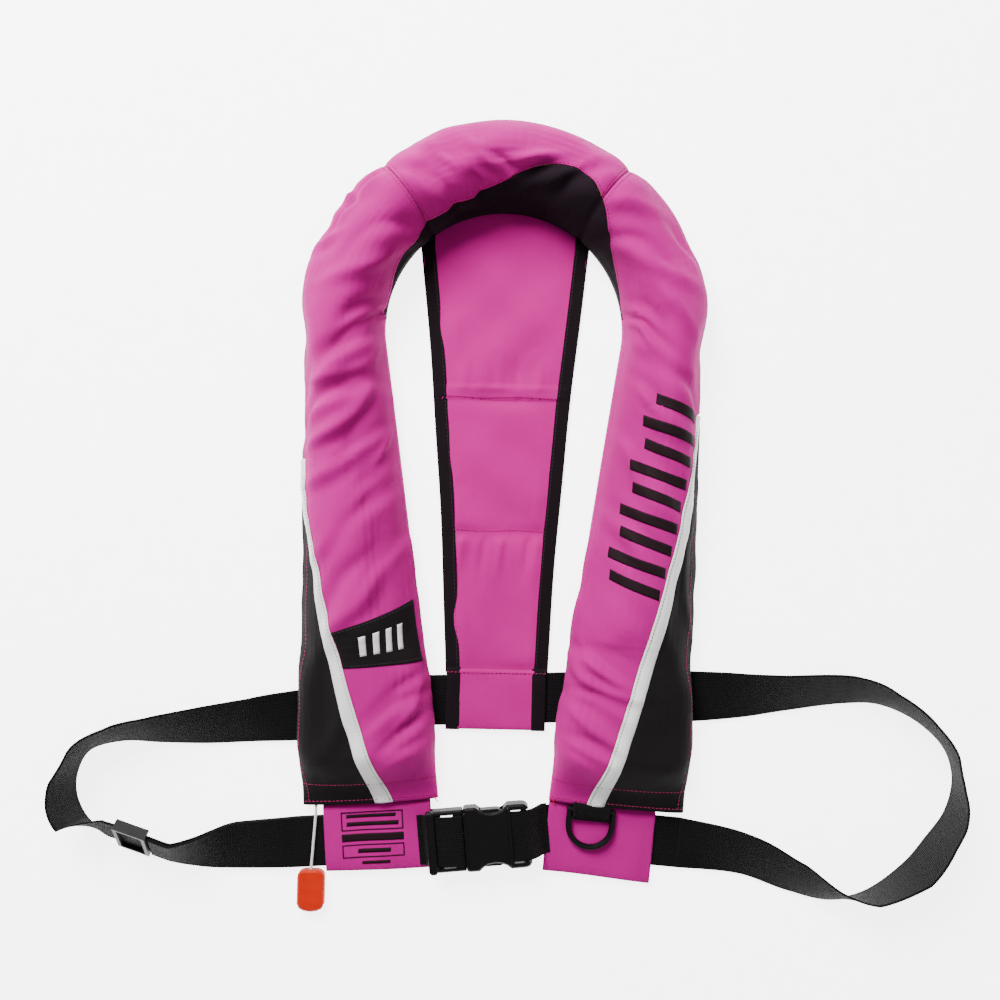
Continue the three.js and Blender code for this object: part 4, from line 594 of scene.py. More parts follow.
def bulge(s):
    """How far the outer edge bellies out (+) or draws in (-) along the spine, in millimetres."""
    turn = np.degrees((s - SPINE / 2) / COLLAR_R)
    total = 0.5 * np.sin(s / 19.0) + 0.4 * np.sin(s / 8.3 + 1)
    for at, wide, size in BULGES:
        total = total + size * np.exp(-((turn - at) / wide) ** 2)
    return total * smooth(from_hem(s), 20, 90)


def cover(s, angle, lift=0.0):
    """Point on the wrinkled cover."""
    point = flat_cover(s, angle, lift + FABRIC + wrinkles(s, angle))
    _, _, ox, oy = spine(s)
    push = bulge(s) * np.maximum(np.cos(angle), 0) ** 2
    return point + np.stack([push * ox, push * oy, 0 * push], -1)


# ------------------------------------------------------------------ the horseshoe
LEFT = {"side": -1, "name": "left", "top": 32.0, "hem": -0.22, "sweep": 1.26}
RIGHT = {"side": 1, "name": "right", "top": 72.0, "hem": -0.33, "sweep": 1.05}


def along(lobe, d):
    return d if lobe["side"] < 0 else SPINE - d


def piping_angle(lobe, s):
    t = np.clip(1 - from_hem(s) / leg_s(lobe["top"]), 0, 1)
    return angle_at(lerp(0.96, lobe["hem"], t ** lobe["sweep"]))


# The seam between the pink collar and the black neck lining rises over the right of the neck and a little over
# the left: degrees round the neck, spread in degrees, and rise as a share of the half width.
LINING_END = -0.99
LINING_RISES = ((25, 17, 0.97), (-28, 18, 0.2))


def lining_edge(s):
    turn = np.degrees((s - SPINE / 2) / COLLAR_R)
    rise = sum(share * np.exp(-0.5 * ((turn - at) / wide) ** 2) for at, wide, share in LINING_RISES)
    return angle_at(LINING_END + rise)


def strip(s0, s1, n, edges, m, lift=0.0, thick=FABRIC):
    """Under side, top and cloth map of a piece of the cover from s0 to s1, between the angles edges(s)."""
    s = np.linspace(s0, s1, n)[:, None]
    low, high = edges(s)
    t = np.linspace(0, 1, m)[None]
    angle = lerp(low, high, t)
    s = s * np.ones_like(angle)
    top = cover(s, angle, lift)
    under = cover(s, angle, lift - thick)
    reach = half_width(s) * 0.65 + cover_height(s) * 0.35
    uv = np.stack([s, angle * reach], -1)
    return under, top, uv


def build_strip(name, material, *args, **kwargs):
    under, top, uv = strip(*args, **kwargs)
    return layered(name, under, top, material, uv)


def take(obj, nodes=(), body="jacket"):
    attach(obj, body)
    if nodes:
        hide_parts(*nodes)
    return obj


zero = lambda s: np.zeros_like(s)
for lobe in (LEFT, RIGHT):
    name = lobe["name"]
    top_s = leg_s(lobe["top"])
    ends = (along(lobe, 0.0), along(lobe, SEAM_S - 0.2))

    def pink_edges(s, lobe=lobe, top_s=top_s):
        below = from_hem(s) < top_s
        low = np.where(below, piping_angle(lobe, s) + half_angle(s, 1.0), 0.0)
        near = np.abs(s - SPINE / 2) < NECK_START
        return low, np.where(near, lining_edge(s) - half_angle(s, 1.2), math.pi)

    piece = build_strip(f"cover_{name}_cloth", PINK, *ends, 210, pink_edges, 64)
    take(piece, [f"cover_{name}"])
    ends = (along(lobe, 0.0), along(lobe, top_s - 0.5))
    piece = build_strip(f"side_panel_{name}_cloth", DARK, *ends, 130,
                        lambda s, lobe=lobe: (zero(s), piping_angle(lobe, s) - half_angle(s, 1.0)), 30)
    take(piece, [f"side_panel_{name}"])

    def pipe_edges(s, lobe=lobe):
        mid = piping_angle(lobe, s)
        reach = np.minimum(half_angle(s, 10.4), mid - 0.02)
        return mid - reach, mid + reach

    s = np.linspace(*ends, 170)[:, None]
    low, high = pipe_edges(s)
    t = np.linspace(0, 1, 13)[None]
    angle = lerp(low, high, t)
    s = s * np.ones_like(angle)
    raised = 1.1 * np.exp(-((t - 0.42) / 0.3) ** 4) + 0.25 * np.exp(-((t - 0.86) / 0.1) ** 2)
    under, top = cover(s, angle, 0.1), cover(s, angle, 0.35 + raised)
    piece = layered(f"piping_{name}_tape", under, top, TAPE, np.stack([s, t * 10.4 * np.ones_like(s)], -1))
    take(piece, [f"piping_{name}"])

collar_ends = (SEAM_S + 0.2, SPINE - SEAM_S - 0.2)
piece = build_strip("cover_collar_cloth", PINK, *collar_ends, 120,
                    lambda s: (zero(s), lining_edge(s) - half_angle(s, 1.2)), 64)
take(piece, ["cover_collar"])
lining_ends = (SPINE / 2 - NECK_START + 0.5, SPINE / 2 + NECK_START - 0.5)
piece = build_strip("neck_lining_cloth", NECK, *lining_ends, 220,
                    lambda s: (lining_edge(s), np.full_like(s, math.pi)), 26, lift=-0.2)
take(piece, ["neck_lining"])

# The rating patch on the left lobe, with plain generic bars where a real one has its print.
PATCH_S = leg_s(HEM_Y + 130)


def patch_point(a, b, lift):
    s = PATCH_S + (a - 0.5) * 38 + (b - 0.5) * 20 * a
    start = piping_angle(LEFT, s) + half_angle(s, 11.4)
    return cover(s, lerp(start, angle_at(-0.93), b), lift)


a, b = np.meshgrid(np.linspace(0, 1, 30), np.linspace(0, 1, 40), indexing="ij")
piece = layered("rating_patch_cloth", patch_point(a, b, -0.2), patch_point(a, b, 0.45), DARK)
take(piece, ["rating_patch"])


def printed(name, point, bars, material, body="jacket", lift=0.0, thick=0.12):
    """Flat printed shapes laid on a surface: each bar is four corners in that surface's own coordinates."""
    points, faces = [], []
    for bar in bars:
        bar = np.asarray(bar, float)
        n = max(3, int(np.linalg.norm(bar[1] - bar[0]) / 2.0) + 2)
        m = max(3, int(np.linalg.norm(bar[3] - bar[0]) / 2.0) + 2)
        u, v = np.meshgrid(np.linspace(0, 1, n), np.linspace(0, 1, m), indexing="ij")
        flat = (bar[0] * ((1 - u) * (1 - v))[..., None] + bar[1] * (u * (1 - v))[..., None]
                + bar[2] * (u * v)[..., None] + bar[3] * ((1 - u) * v)[..., None])
        faces.extend(tuple(len(points) + q for q in face) for face in closed_faces(n, m))
        for h in (lift, lift + thick):
            points.extend(point(flat[..., 0], flat[..., 1], h).reshape(-1, 3))
    obj = link(name, outward(make_mesh(name, points, faces)), material)
    return take(obj, body=body)


def patch_mm(x, y, lift):
    return patch_point(y / 38.0, x / 62.0, lift)


bars = [[(x, 10), (x + 4.5, 10), (x + 6.5, 27), (x + 2, 27)] for x in (14, 23.5, 33, 42.5)]
printed("patch_bars", patch_mm, bars, WHITE_PRINT, lift=0.5)

# Generic graphic on the right lobe: nine slanting bars of two lengths in turn.
GRAPHIC_S = SPINE - leg_s(20.0)


def lobe_mm(x, y, lift):
    """x runs in from the lobe's spine line, y up from the middle of the graphic, both along the cloth."""
    s = GRAPHIC_S - y
    reach = half_width(s) * 0.65 + cover_height(s) * 0.35
    return cover(s, math.pi / 2 + x / reach, lift)


def frame_bars(x0, x1, y0, y1, wide, slant=0.0):
    """A four-sided outline made of bars."""
    p = lambda x, y: (x + slant * (y - y0), y)
    return [[p(x0, y0), p(x1, y0), p(x1, y0 + wide), p(x0, y0 + wide)],
            [p(x0, y1 - wide), p(x1, y1 - wide), p(x1, y1), p(x0, y1)],
            [p(x0, y0 + wide), p(x0 + wide, y0 + wide), p(x0 + wide, y1 - wide), p(x0, y1 - wide)],
            [p(x1 - wide, y0 + wide), p(x1, y0 + wide), p(x1, y1 - wide), p(x1 - wide, y1 - wide)]]


graphic = []
for k in range(9):
    y0, y1 = -87 + 17 * k, -79 + 17 * k
    shift = -0.16 * (y0 + 87)
    reach_in = (27, 33)[k % 2]
    graphic.append([(-10 + shift, y0 - 6), (reach_in + shift, y0 + 6),
                    (reach_in + shift, y1 + 6), (-10 + shift, y1 - 6)])
printed("lobe_graphic", lobe_mm, graphic, BLACK_PRINT, lift=0.3)

# ------------------------------------------------------------------ under the cover
def flat_across(s, across, z):
    x, y, ox, oy = spine(s)
    return np.stack([x + across * ox, y + across * oy, z * np.ones_like(x)], -1)


for name, s0, s1 in (("left", 0, SEAM_S - 0.15), ("collar", SEAM_S + 0.15, SPINE - SEAM_S - 0.15),
                     ("right", SPINE - SEAM_S + 0.15, SPINE)):
    s, t = np.meshgrid(np.linspace(s0, s1, 90), np.linspace(-1, 1, 16), indexing="ij")
    across = half_width(s) * t + bulge(s) * np.maximum(t, 0) ** 2
    sag = 0.25 * np.sin(s / 23.0) * np.cos(across / 17.0) * (1 - t ** 2)
    grid = flat_across(s, across, LINING_TOP - FABRIC - 0.1 + 0 * s)
    grid[..., 2] += sag - 0.25
    piece = layered(f"lining_{name}_cloth", grid, grid + [0, 0, FABRIC], DARK, np.stack([s, across + 60], -1))
    take(piece, [f"lining_{name}"])

cad_looks = {
    "bladder": FILM, "closure_hook_left": DARK, "closure_loop_left": DARK, "closure_hook_right": DARK,
    "closure_loop_right": DARK, "inflator_body": PLASTIC, "inflator_lever": ORANGE, "lever_pin": STEEL,
    "firing_pin": STEEL, "gas_cylinder": STEEL, "manifold_stem": PLASTIC, "manifold_gasket": DARK,
    "manifold_nut": METAL, "oral_tube": PLASTIC, "oral_valve": STEEL, "oral_cap": ORANGE, "whistle": ORANGE,
    "whistle_lanyard": CORD, "buckle_female": PLASTIC, "buckle_male": PLASTIC, "buckle_prong_upper": PLASTIC,
    "buckle_prong_lower": PLASTIC, "belt_slider": PLASTIC, "d_ring": METAL, "pull_toggle": ORANGE,
}
for node, material in cad_looks.items():
    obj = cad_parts[node]
    if not obj.data.uv_layers:
        obj.data.uv_layers.new(name="cloth")
    obj.data.materials.clear()
    obj.data.materials.append(material)

# ------------------------------------------------------------------ back panel
PANEL_TOP_Y, PANEL_TOP_HALF, PANEL_LOW_HALF = 200.0, 66.0, 39.0
BELT_ABOVE_HEM, LOOP_DEEP = 82.0, 48.0
LOOP_TOP = HEM_Y + BELT_ABOVE_HEM + LOOP_DEEP / 2
NECK_EDGE, PANEL_TUCK, PANEL_LIFT_FROM = COLLAR_R - COLLAR_HALF, 6.0, 74.0
BINDING = 0.6
PANEL_Z = BINDING + GAP
PANEL_LIFT = LINING_TOP - FABRIC - GAP - FABRIC
LOOP_LOW = LOOP_TOP - LOOP_DEEP


def panel_half(y):
    t = np.clip((PANEL_TOP_Y - y) / (PANEL_TOP_Y - LOOP_LOW), 0, 1)
    return lerp(PANEL_TOP_HALF, PANEL_LOW_HALF, 1 - (1 - t) ** 1.6)


def panel_z(x, y):
    reach = np.hypot(x, np.maximum(0, y - COLLAR_Y))
    return PANEL_Z + (PANEL_LIFT - PANEL_Z) * smooth(reach, PANEL_LIFT_FROM, NECK_EDGE - 2)


WAVE_STRENGTH = 2.1


def panel_waves(x, y):
    """Soft waves of the panel's cloth, the doubled tuck across it and the pull of its two seams."""
    share = np.abs(x) / panel_half(y)
    free = smooth(1 - share, 0.02, 0.4) * smooth(np.hypot(x, np.maximum(0, y - COLLAR_Y)), 99, 76)
    wave = 0.9 + 0.9 * np.sin(x / 15 + y / 19 + 0.8 * np.sin(y / 37)) * np.sin(y / 27 + 1.1)
    wave += 0.55 * np.sin((x * 0.8 - y) / 11.0 + 1.5 * np.sin(x / 40)) * np.exp(-((y - 120) / 45) ** 2)
    wave += 0.6 * np.sin((x + 0.5 * y) / 9.0) * np.exp(-((y + 60) / 34) ** 2)
    for y0, reach in ((80.5, 7), (-26.5, 6), (LOOP_TOP - 2, 7)):
        wave *= 1 - 0.85 * np.exp(-((y - y0) / reach) ** 2)
    for k, x0 in enumerate((-30, -21, -11, 2, 12, 24, 31)):
        size = 0.9 * math.cos(k * 1.9)
        pucker = np.exp(-((x - x0 - (y + 26) * 0.1) / 3.6) ** 2)
        wave += size * pucker * smooth(y, -27, -35) * smooth(y, -72, -40)
        wave += 0.5 * size * np.exp(-((x + x0) / 4.0) ** 2) * smooth(y, 84, 92) * smooth(y, 122, 98)
    tuck = 1.5 * smooth(y, 80.0, 80.9) * smooth(y, 92.5, 89.0) * (1 + 0.3 * np.sin(x / 13 + 1))
    return np.maximum(wave * free * WAVE_STRENGTH, -0.3) + tuck * smooth(1 - share, 0, 0.08)


def panel(x, y, lift=0.0):
    z = panel_z(x, y) + panel_waves(x, y) + FABRIC + lift
    return np.stack([x + 0 * z, y + 0 * z, z], -1)


share, a = np.meshgrid(np.linspace(-1, 1, 70), np.linspace(0, 1, 230), indexing="ij")
top_y = COLLAR_Y + np.sqrt((NECK_EDGE + PANEL_TUCK) ** 2 - (share * PANEL_TOP_HALF) ** 2)
y = lerp(LOOP_TOP - 3.5, top_y, a)
x = share * panel_half(y)
piece = layered("back_panel_cloth", panel(x, y, -FABRIC), panel(x, y), PINK_PANEL_PAINTED_LIGHT, np.stack([x, y], -1))
take(piece, ["back_panel"])


def binding_top(side, t, y, lift=0.0):
    """Tape folded over the panel's edge: t runs from its inner stitched edge to the fold."""
    half = panel_half(y)
    x = half + 0.9 - 11.2 * (1 - t) + 0.25 * np.sin(y / 21.0 + side)
    z = panel_z(half - 6, y) + FABRIC + 0.55 * (1 - np.exp(-((t) / 0.06))) * (1 - t ** 8)
    z = z + np.where(t < 0.9, panel_waves(np.minimum(x, half - 0.3), y) * 0.9, 0.25 + 0.05 * np.sin(y / 9))
    return np.stack([side * x + 0 * z, y + 0 * z, z + lift], -1)


for side, name in ((-1, "left"), (1, "right")):
    t, a = np.meshgrid(np.linspace(0, 1, 18), np.linspace(0, 1, 210), indexing="ij")
    reach = PANEL_TOP_HALF - 11.2 * (1 - t)
    y = lerp(LOOP_TOP - 3, COLLAR_Y + np.sqrt((NECK_EDGE + 4) ** 2 - reach ** 2), a)
    over = binding_top(side, t, y)
    under = over.copy()
    under[..., 2] = np.maximum(panel_z(panel_half(y) - 6, y) - PANEL_Z + 0.05, 0.05)
    under[..., 2] += (panel_z(panel_half(y) - 6, y) - PANEL_Z > 0.4) * 0.2
    piece = layered(f"panel_binding_{name}_tape", under, over, BIND, np.stack([t * 11, y], -1))
    take(piece, [f"panel_binding_{name}"])


# ------------------------------------------------------------------ sewn tunnels for the belt
def shell(name, outer, inner, material, uv):
    """A tube of cloth open at both ends; both grids go round in their second direction."""
    n, m = outer.shape[:2]
    k = n * m
    points = np.concatenate([outer.reshape(-1, 3), inner.reshape(-1, 3)])
    faces = []
    for j in range(m):
        q = (j + 1) % m
        for i in range(n - 1):
            faces.append((i * m + j, (i + 1) * m + j, (i + 1) * m + q, i * m + q))
            faces.append((k + i * m + j, k + i * m + q, k + (i + 1) * m + q, k + (i + 1) * m + j))
        faces.append((j, q, k + q, k + j))
        e = (n - 1) * m
        faces.append((e + j, k + e + j, k + e + q, e + q))
    mesh = outward(make_mesh(name, points, faces, np.concatenate([uv.reshape(-1, 2)] * 2)))
    return link(name, mesh, material)


def rumpled(x, y, seed):
    """Soft unevenness of a tunnel's top, made of waves whose directions come from a fixed seed."""
    rng = np.random.default_rng(seed)
    total = 0.0
    for _ in range(7):
        p, q, w = rng.uniform(0.05, 0.16), rng.uniform(-0.14, 0.14), rng.uniform(0, 6.28)
        total = total + 0.22 * np.sin(x * p + y * q + w)
    return total


def flat_tube(x0, x1, y0, y1, high, sag, seed, n=54, m=96):
    """Outer and inner grids of a flattened tube along x, softly rumpled on top."""
    u, v = np.meshgrid(np.linspace(0, 1, n), np.arange(m) * 2 * math.pi / m, indexing="ij")
    cy, hy, hz = (y0 + y1) / 2, (y1 - y0) / 2, high / 2
    grids = []
    for inset in (0.0, FABRIC * 0.9):
        y = np.sign(np.cos(v)) * np.abs(np.cos(v)) ** 0.3 * (hy - inset)
        z = np.sign(np.sin(v)) * np.abs(np.sin(v)) ** 0.62 * (hz - inset)
        x = lerp(x0, x1, u)
        on_top = smooth(np.sin(v), 0.0, 0.7)
        rumple = rumpled(x, y, seed)
        end = smooth(np.abs(u - 0.5), 0.36, 0.5)
        y = cy + y - sag * np.maximum(0, -np.cos(v)) * (0.5 + 0.5 * np.cos(3.3 * u + seed))
        z = hz + z + on_top * (0.9 + rumple) * (1 - 0.5 * end) + 0.05
        grids.append(np.stack([x + 0 * z, y, z], -1))
    return grids[0], grids[1], np.stack([lerp(x0, x1, u), v * (y1 - y0) / 3.0], -1)


def hem_frame(side):
    turn = -side * LEAN
    c, n = math.cos(turn), math.sin(turn)
    return np.array([[c, -n, 0], [n, c, 0], [0, 0, 1]]), np.array([side * leg_x(HEM_Y), HEM_Y, 0.0])


def in_hem(side, points):
    turn, at = hem_frame(side)
    return np.asarray(points, float) @ turn.T + at


TWO_LAYERS, ONE_LAYER = 2 * WEB + 3 * GAP, WEB + 2 * GAP
SLEEVE_HALF, SLEEVE_DROP = 42.5, 1.2
LEFT_SHIFT, RIGHT_SHIFT = 4.5, -10.5
# Side, shift along the hem, depth, height of the webbing inside, sag of the lower edge, seed of the rumples.
SLEEVES = {"left": (-1, LEFT_SHIFT, 53, TWO_LAYERS, 1.6, 4), "right": (1, RIGHT_SHIFT, 56, ONE_LAYER, 2.4, 9)}
for name, (side, middle, depth, layers, sag, seed) in SLEEVES.items():
    x_ends = (middle - SLEEVE_HALF, middle + SLEEVE_HALF)
    outer, inner, uv = flat_tube(*x_ends, -SLEEVE_DROP - depth, -SLEEVE_DROP, 2 * FABRIC + layers, sag, seed)
    piece = shell(f"sleeve_{name}_cloth", in_hem(side, outer), in_hem(side, inner), PINK, uv)
    take(piece, [f"sleeve_{name}"])
    u, v = np.meshgrid(np.linspace(middle - 42, middle + 42, 20), np.linspace(-3, 16.5, 8), indexing="ij")
    z = 3.2 - 0.5 * smooth(v, 0, -3)
    tab = np.stack([u, v, z], -1)
    piece = layered(f"sleeve_{name}_tab", in_hem(side, tab - [0, 0, 1.1]), in_hem(side, tab), PINK)
    take(piece)

outer, inner, uv = flat_tube(-39, 39, LOOP_LOW, LOOP_TOP, 2 * FABRIC + ONE_LAYER, 0.0, 2)
piece = shell("back_belt_loop_cloth", outer, inner, PINK_PANEL_PAINTED_LIGHT, uv)
take(piece, ["back_belt_loop"])
for side, name in ((-1, "left"), (1, "right")):
    t, y = np.meshgrid(np.linspace(0, 1, 10), np.linspace(LOOP_LOW - 0.4, LOOP_TOP + 1, 40), indexing="ij")
    x = side * (28.6 + 11.0 * t)
    edge = np.abs((y - (LOOP_LOW + LOOP_TOP) / 2) / 24.6)
    z = 5.75 + 0.5 * np.sin(t * math.pi) ** 0.5 - 2.6 * np.clip(edge, 0, 1) ** 10
    z = z + 0.12 * np.sin(y / 6 + side)
    over = np.stack([x + 0 * z, y, z], -1)
    piece = layered(f"loop_binding_{name}", over - [0, 0, 0.9], over, BIND, np.stack([t * 11, y], -1))
    take(piece)

# ------------------------------------------------------------------ waist belt
V = lambda *p: np.array(p, float)
unit = lambda v: v / np.linalg.norm(v)
COS, SIN = math.cos(LEAN), math.sin(LEAN)
BELT_Z = FABRIC + GAP + WEB / 2
BELT_MID = HEM_Y + BELT_ABOVE_HEM


def below_hem(side, out, down):
    return V(side * (leg_x(HEM_Y) + out * COS - down * SIN), HEM_Y - out * SIN - down * COS, 0)


def low_edge(middle, rise, z):
    p = middle - np.array(rise) * WEB_WIDE / 2
    return V(p[0], p[1], z)


L_EXIT = V(-leg_x(BELT_MID) - HEM_HALF + 1.5, BELT_MID - 16, 0)
R_EXIT = V(leg_x(BELT_MID) + HEM_HALF + 1, BELT_MID + 6, 0)
L_ENTRY = below_hem(-1, SLEEVE_HALF + 15 - LEFT_SHIFT, 30)
L_OUT = below_hem(-1, SLEEVE_HALF + 24 - LEFT_SHIFT, 30)
R_ENTRY = below_hem(1, SLEEVE_HALF + 20 + RIGHT_SHIFT, 25)
L_END = below_hem(-1, -SLEEVE_HALF - 4 - LEFT_SHIFT, 30)
R_END = below_hem(1, -SLEEVE_HALF - 2 + RIGHT_SHIFT, 25)
L_RISE, R_RISE = V(-SIN, COS, 0), V(SIN, COS, 0)
FLAT = V(0, 1, 0)


def loop_run(start, end, rows):
    out = []
    for share, x, y, rise in rows:
        base = lerp(start, end, share)
        out.append((V(base[0] + x, base[1] + y, 1.0), unit(np.array(rise, float))))
    return out


STRAIGHT = unit(V(0.18, 0.55, 0.81))
FROM, TO = V(L_ENTRY[0] - 158, L_ENTRY[1] + 2.1, 5.4), V(L_ENTRY[0] - 106, L_ENTRY[1] - 15.2, 5.4)
on_straight = lambda d: lerp(FROM, TO, d / np.linalg.norm(TO - FROM))
left_front = [
    (low_edge(L_END, L_RISE, BELT_Z), L_RISE), (low_edge(lerp(L_END, L_ENTRY, 0.5), L_RISE, BELT_Z), L_RISE),
    (low_edge(L_ENTRY, L_RISE, BELT_Z), L_RISE), (low_edge(L_OUT, L_RISE, BELT_Z), L_RISE),
    (V(L_ENTRY[0] - 57, L_ENTRY[1] - 22, 1), unit(V(0, 0.96, 0.27))),
    (V(L_ENTRY[0] - 80, L_ENTRY[1] - 20.5, 2.5), unit(V(0.05, 0.83, 0.55))),
    (TO, STRAIGHT), (on_straight(39), STRAIGHT), (on_straight(24), STRAIGHT), (on_straight(8), STRAIGHT),
    (FROM, STRAIGHT)]
left_bend = loop_run(L_EXIT, L_ENTRY, [
    (0.74, -175, -10, (-0.28, 0.13, 0.95)), (0.62, -182, -5, (-0.22, 0.16, 0.96)),
    (0.5, -181, 0, (-0.1, 0.2, 0.97)), (0.38, -171, 6, (0.15, 0.28, 0.95)),
    (0.28, -144, 4.5, (0.17, 0.43, 0.88)), (0.2, -111, -4, (0.04, 0.66, 0.75)),
    (0.12, -74, -12, (0.03, 0.83, 0.56)), (0.05, -38, -17, (0.05, 0.92, 0.39))])
flat = lambda p: (low_edge(p, FLAT, BELT_Z), FLAT)
back = [flat(L_EXIT), flat(L_EXIT + V(14, 1.5, 0)), flat(V(L_EXIT[0] * 0.5, BELT_MID - 3.5, 0)),
        flat(V(0, BELT_MID, 0)), flat(V(R_EXIT[0] * 0.5, BELT_MID + 4, 0)), flat(R_EXIT + V(-14, -0.5, 0)),
        flat(R_EXIT)]
right_bend = loop_run(R_EXIT, R_ENTRY, [
    (0.06, 40, -9, (-0.08, 0.93, 0.36)), (0.12, 74, 4, (-0.07, 0.8, 0.6)),
    (0.18, 122, 18, (-0.3, 0.62, 0.73)), (0.24, 150, 25, (-0.36, 0.4, 0.85)),
    (0.32, 181, 22, (-0.37, 0.32, 0.87)), (0.4, 205, 10, (-0.33, 0.28, 0.9)),
    (0.48, 213, -1, (-0.22, 0.22, 0.95)), (0.56, 213, -7, (-0.08, 0.1, 0.99)),
    (0.66, 208, -13, (0.08, 0.1, 0.99)), (0.76, 196, -19.5, (0.22, 0.08, 0.97)),
    (0.84, 180, -31, (0.28, 0.04, 0.96)), (0.9, 149, -48, (-0.02, 0.1, 0.99)),
    (0.94, 122, -50, (-0.24, 0.42, 0.88)), (0.97, 88, -40, (-0.2, 0.76, 0.6)),
    (0.985, 50, -26, (-0.1, 0.9, 0.42))])
right_front = [(low_edge(p, R_RISE, BELT_Z), R_RISE)
               for p in (R_ENTRY, lerp(R_ENTRY, R_END, 0.15), lerp(R_ENTRY, R_END, 0.6), R_END)]
RUN = left_front + left_bend + back + right_bend + right_front
LOWS = np.array([p for p, _ in RUN])
RISES = np.array([r for _, r in RUN])


def belt_line(u):
    ends = np.vstack([2 * LOWS[0] - LOWS[1], LOWS, 2 * LOWS[-1] - LOWS[-2]])
    out = []
    for value in np.atleast_1d(u):
        k = int(min(max(math.floor(value), 0), len(LOWS) - 2))
        out.append(segment(ends[k], ends[k + 1], ends[k + 2], ends[k + 3], value - k)[0])
    return np.array(out)


ACROSS = np.array([0, 0.25, 0.8, 1.8, 3.2, 6, 10, 15, 20, 25, 30, 34, 36.8, 38.2, 39.2, 39.75, 40]) / 40
BODY = np.array([0.3, 0.75, 1.06, 1.08, 0.92] + [0.9] * 7 + [0.92, 1.08, 1.06, 0.75, 0.3])


def webbing(name, start, end, lift=0.0, steps=14):
    u = np.linspace(start, end, max(4, int((end - start) * steps)))
    low = belt_line(u)
    ahead = belt_line(np.minimum(u + 1e-3, len(LOWS) - 1)) - belt_line(np.maximum(u - 1e-3, 0))
    ahead /= np.linalg.norm(ahead, axis=1, keepdims=True)
    k = np.minimum(u.astype(int), len(LOWS) - 2)
    rise = lerp(RISES[k], RISES[k + 1], (u - k)[:, None])
    rise = rise - (rise * ahead).sum(1, keepdims=True) * ahead
    rise /= np.linalg.norm(rise, axis=1, keepdims=True)
    face = np.cross(ahead, rise)
    run = np.concatenate([[0], np.cumsum(np.linalg.norm(np.diff(low, axis=0), axis=1))]) + 300 * start
    cup = (0.35 * np.sin(run / 31)[:, None] * (1 - (2 * ACROSS[None] - 1) ** 2)) * (abs(lift) < 0.1)
    free = smooth(np.abs(u - 2), 2.0, 3.0)[:, None] * smooth(np.abs(u - 22), 3.0, 4.0)[:, None]
    mid = low[:, None] + rise[:, None] * (ACROSS * WEB_WIDE)[None, :, None] \
        + face[:, None] * (lift + cup * free * 0.8)[..., None]
    half = face[:, None] * (WEB / 2 * BODY)[None, :, None]
    uv = np.stack(np.broadcast_arrays(run[:, None], ACROSS[None] * WEB_WIDE), -1)
    return layered(name, mid - half, mid + half, WEBBING, uv)


BACK_FROM = len(left_front) + len(left_bend)
BACK_TO = BACK_FROM + len(back) - 1
FRONT_FROM = BACK_TO + len(right_bend) + 1
# Each stretch of the belt: where it starts and ends among the stations, and its lift off the outer layer.
BELT = {
    "belt_left_front": (0, len(left_front) - 1, 0),
    "belt_left_tail": (0, len(left_front) - 4, -WEB - GAP),
    "belt_left_loop": (len(left_front) - 1, BACK_FROM, 0),
    "belt_back": (BACK_FROM, BACK_TO, 0),
    "belt_right_loop": (BACK_TO, FRONT_FROM, 0),
    "belt_right_front": (FRONT_FROM, len(RUN) - 1, 0)}
for node, (start, end, lift) in BELT.items():
    take(webbing(f"{node}_webbing", start, end, lift), [node])

# ------------------------------------------------------------------ buckle trim
BUCKLE_AT = np.append((L_END[:2] + R_END[:2]) / 2 + [-20, -2], 14.0)
BUCKLE_TURN = math.radians(6)


def in_buckle(points):
    c, n = math.cos(BUCKLE_TURN), math.sin(BUCKLE_TURN)
    return np.asarray(points, float) @ np.array([[c, -n, 0], [n, c, 0], [0, 0, 1]]).T + BUCKLE_AT


def buckle_web(name, profile, body, node):
    """Webbing that follows a side view of points (x, z) in the buckle, 40 mm wide."""
    line = rounded_path([(x, 0, z) for x, z in profile], 8)
    side = np.cross(np.gradient(line, axis=0), [0, 1, 0])
    side /= np.linalg.norm(side, axis=1, keepdims=True)
    run = np.concatenate([[0], np.cumsum(np.linalg.norm(np.diff(line, axis=0), axis=1))])
    across = (ACROSS - 0.5) * (WEB_WIDE - 0.6)
    mid = line[:, None] + across[None, :, None] * np.array([0, 1, 0])
    half = side[:, None] * (WEB / 2 * BODY)[None, :, None]
    uv = np.stack(np.broadcast_arrays(run[:, None], across[None] + 20), -1)
    piece = layered(name, in_buckle(mid - half), in_buckle(mid + half), WEBBING, uv)
    return take(piece, [node], body=body)


LEFT_WRAP = [(-37, -5.2), (-32, -4.4), (-28.5, -1), (-26, 2.4), (-20, 4.6), (-12, 5.9), (-5, 6.4), (-1.6, 6.0),
             (-1.2, 5.6)]
RIGHT_WRAP = [(37.6, 5.0), (40, 5.4), (47, 5.2), (52, 3.6), (56, 0), (59.5, -5), (62, -8.4), (66, -9.4)]
buckle_web("belt_left_wrap_webbing", LEFT_WRAP, "buckle_male_half", "belt_left_wrap")
buckle_web("belt_right_wrap_webbing", RIGHT_WRAP, "jacket", "belt_right_wrap")

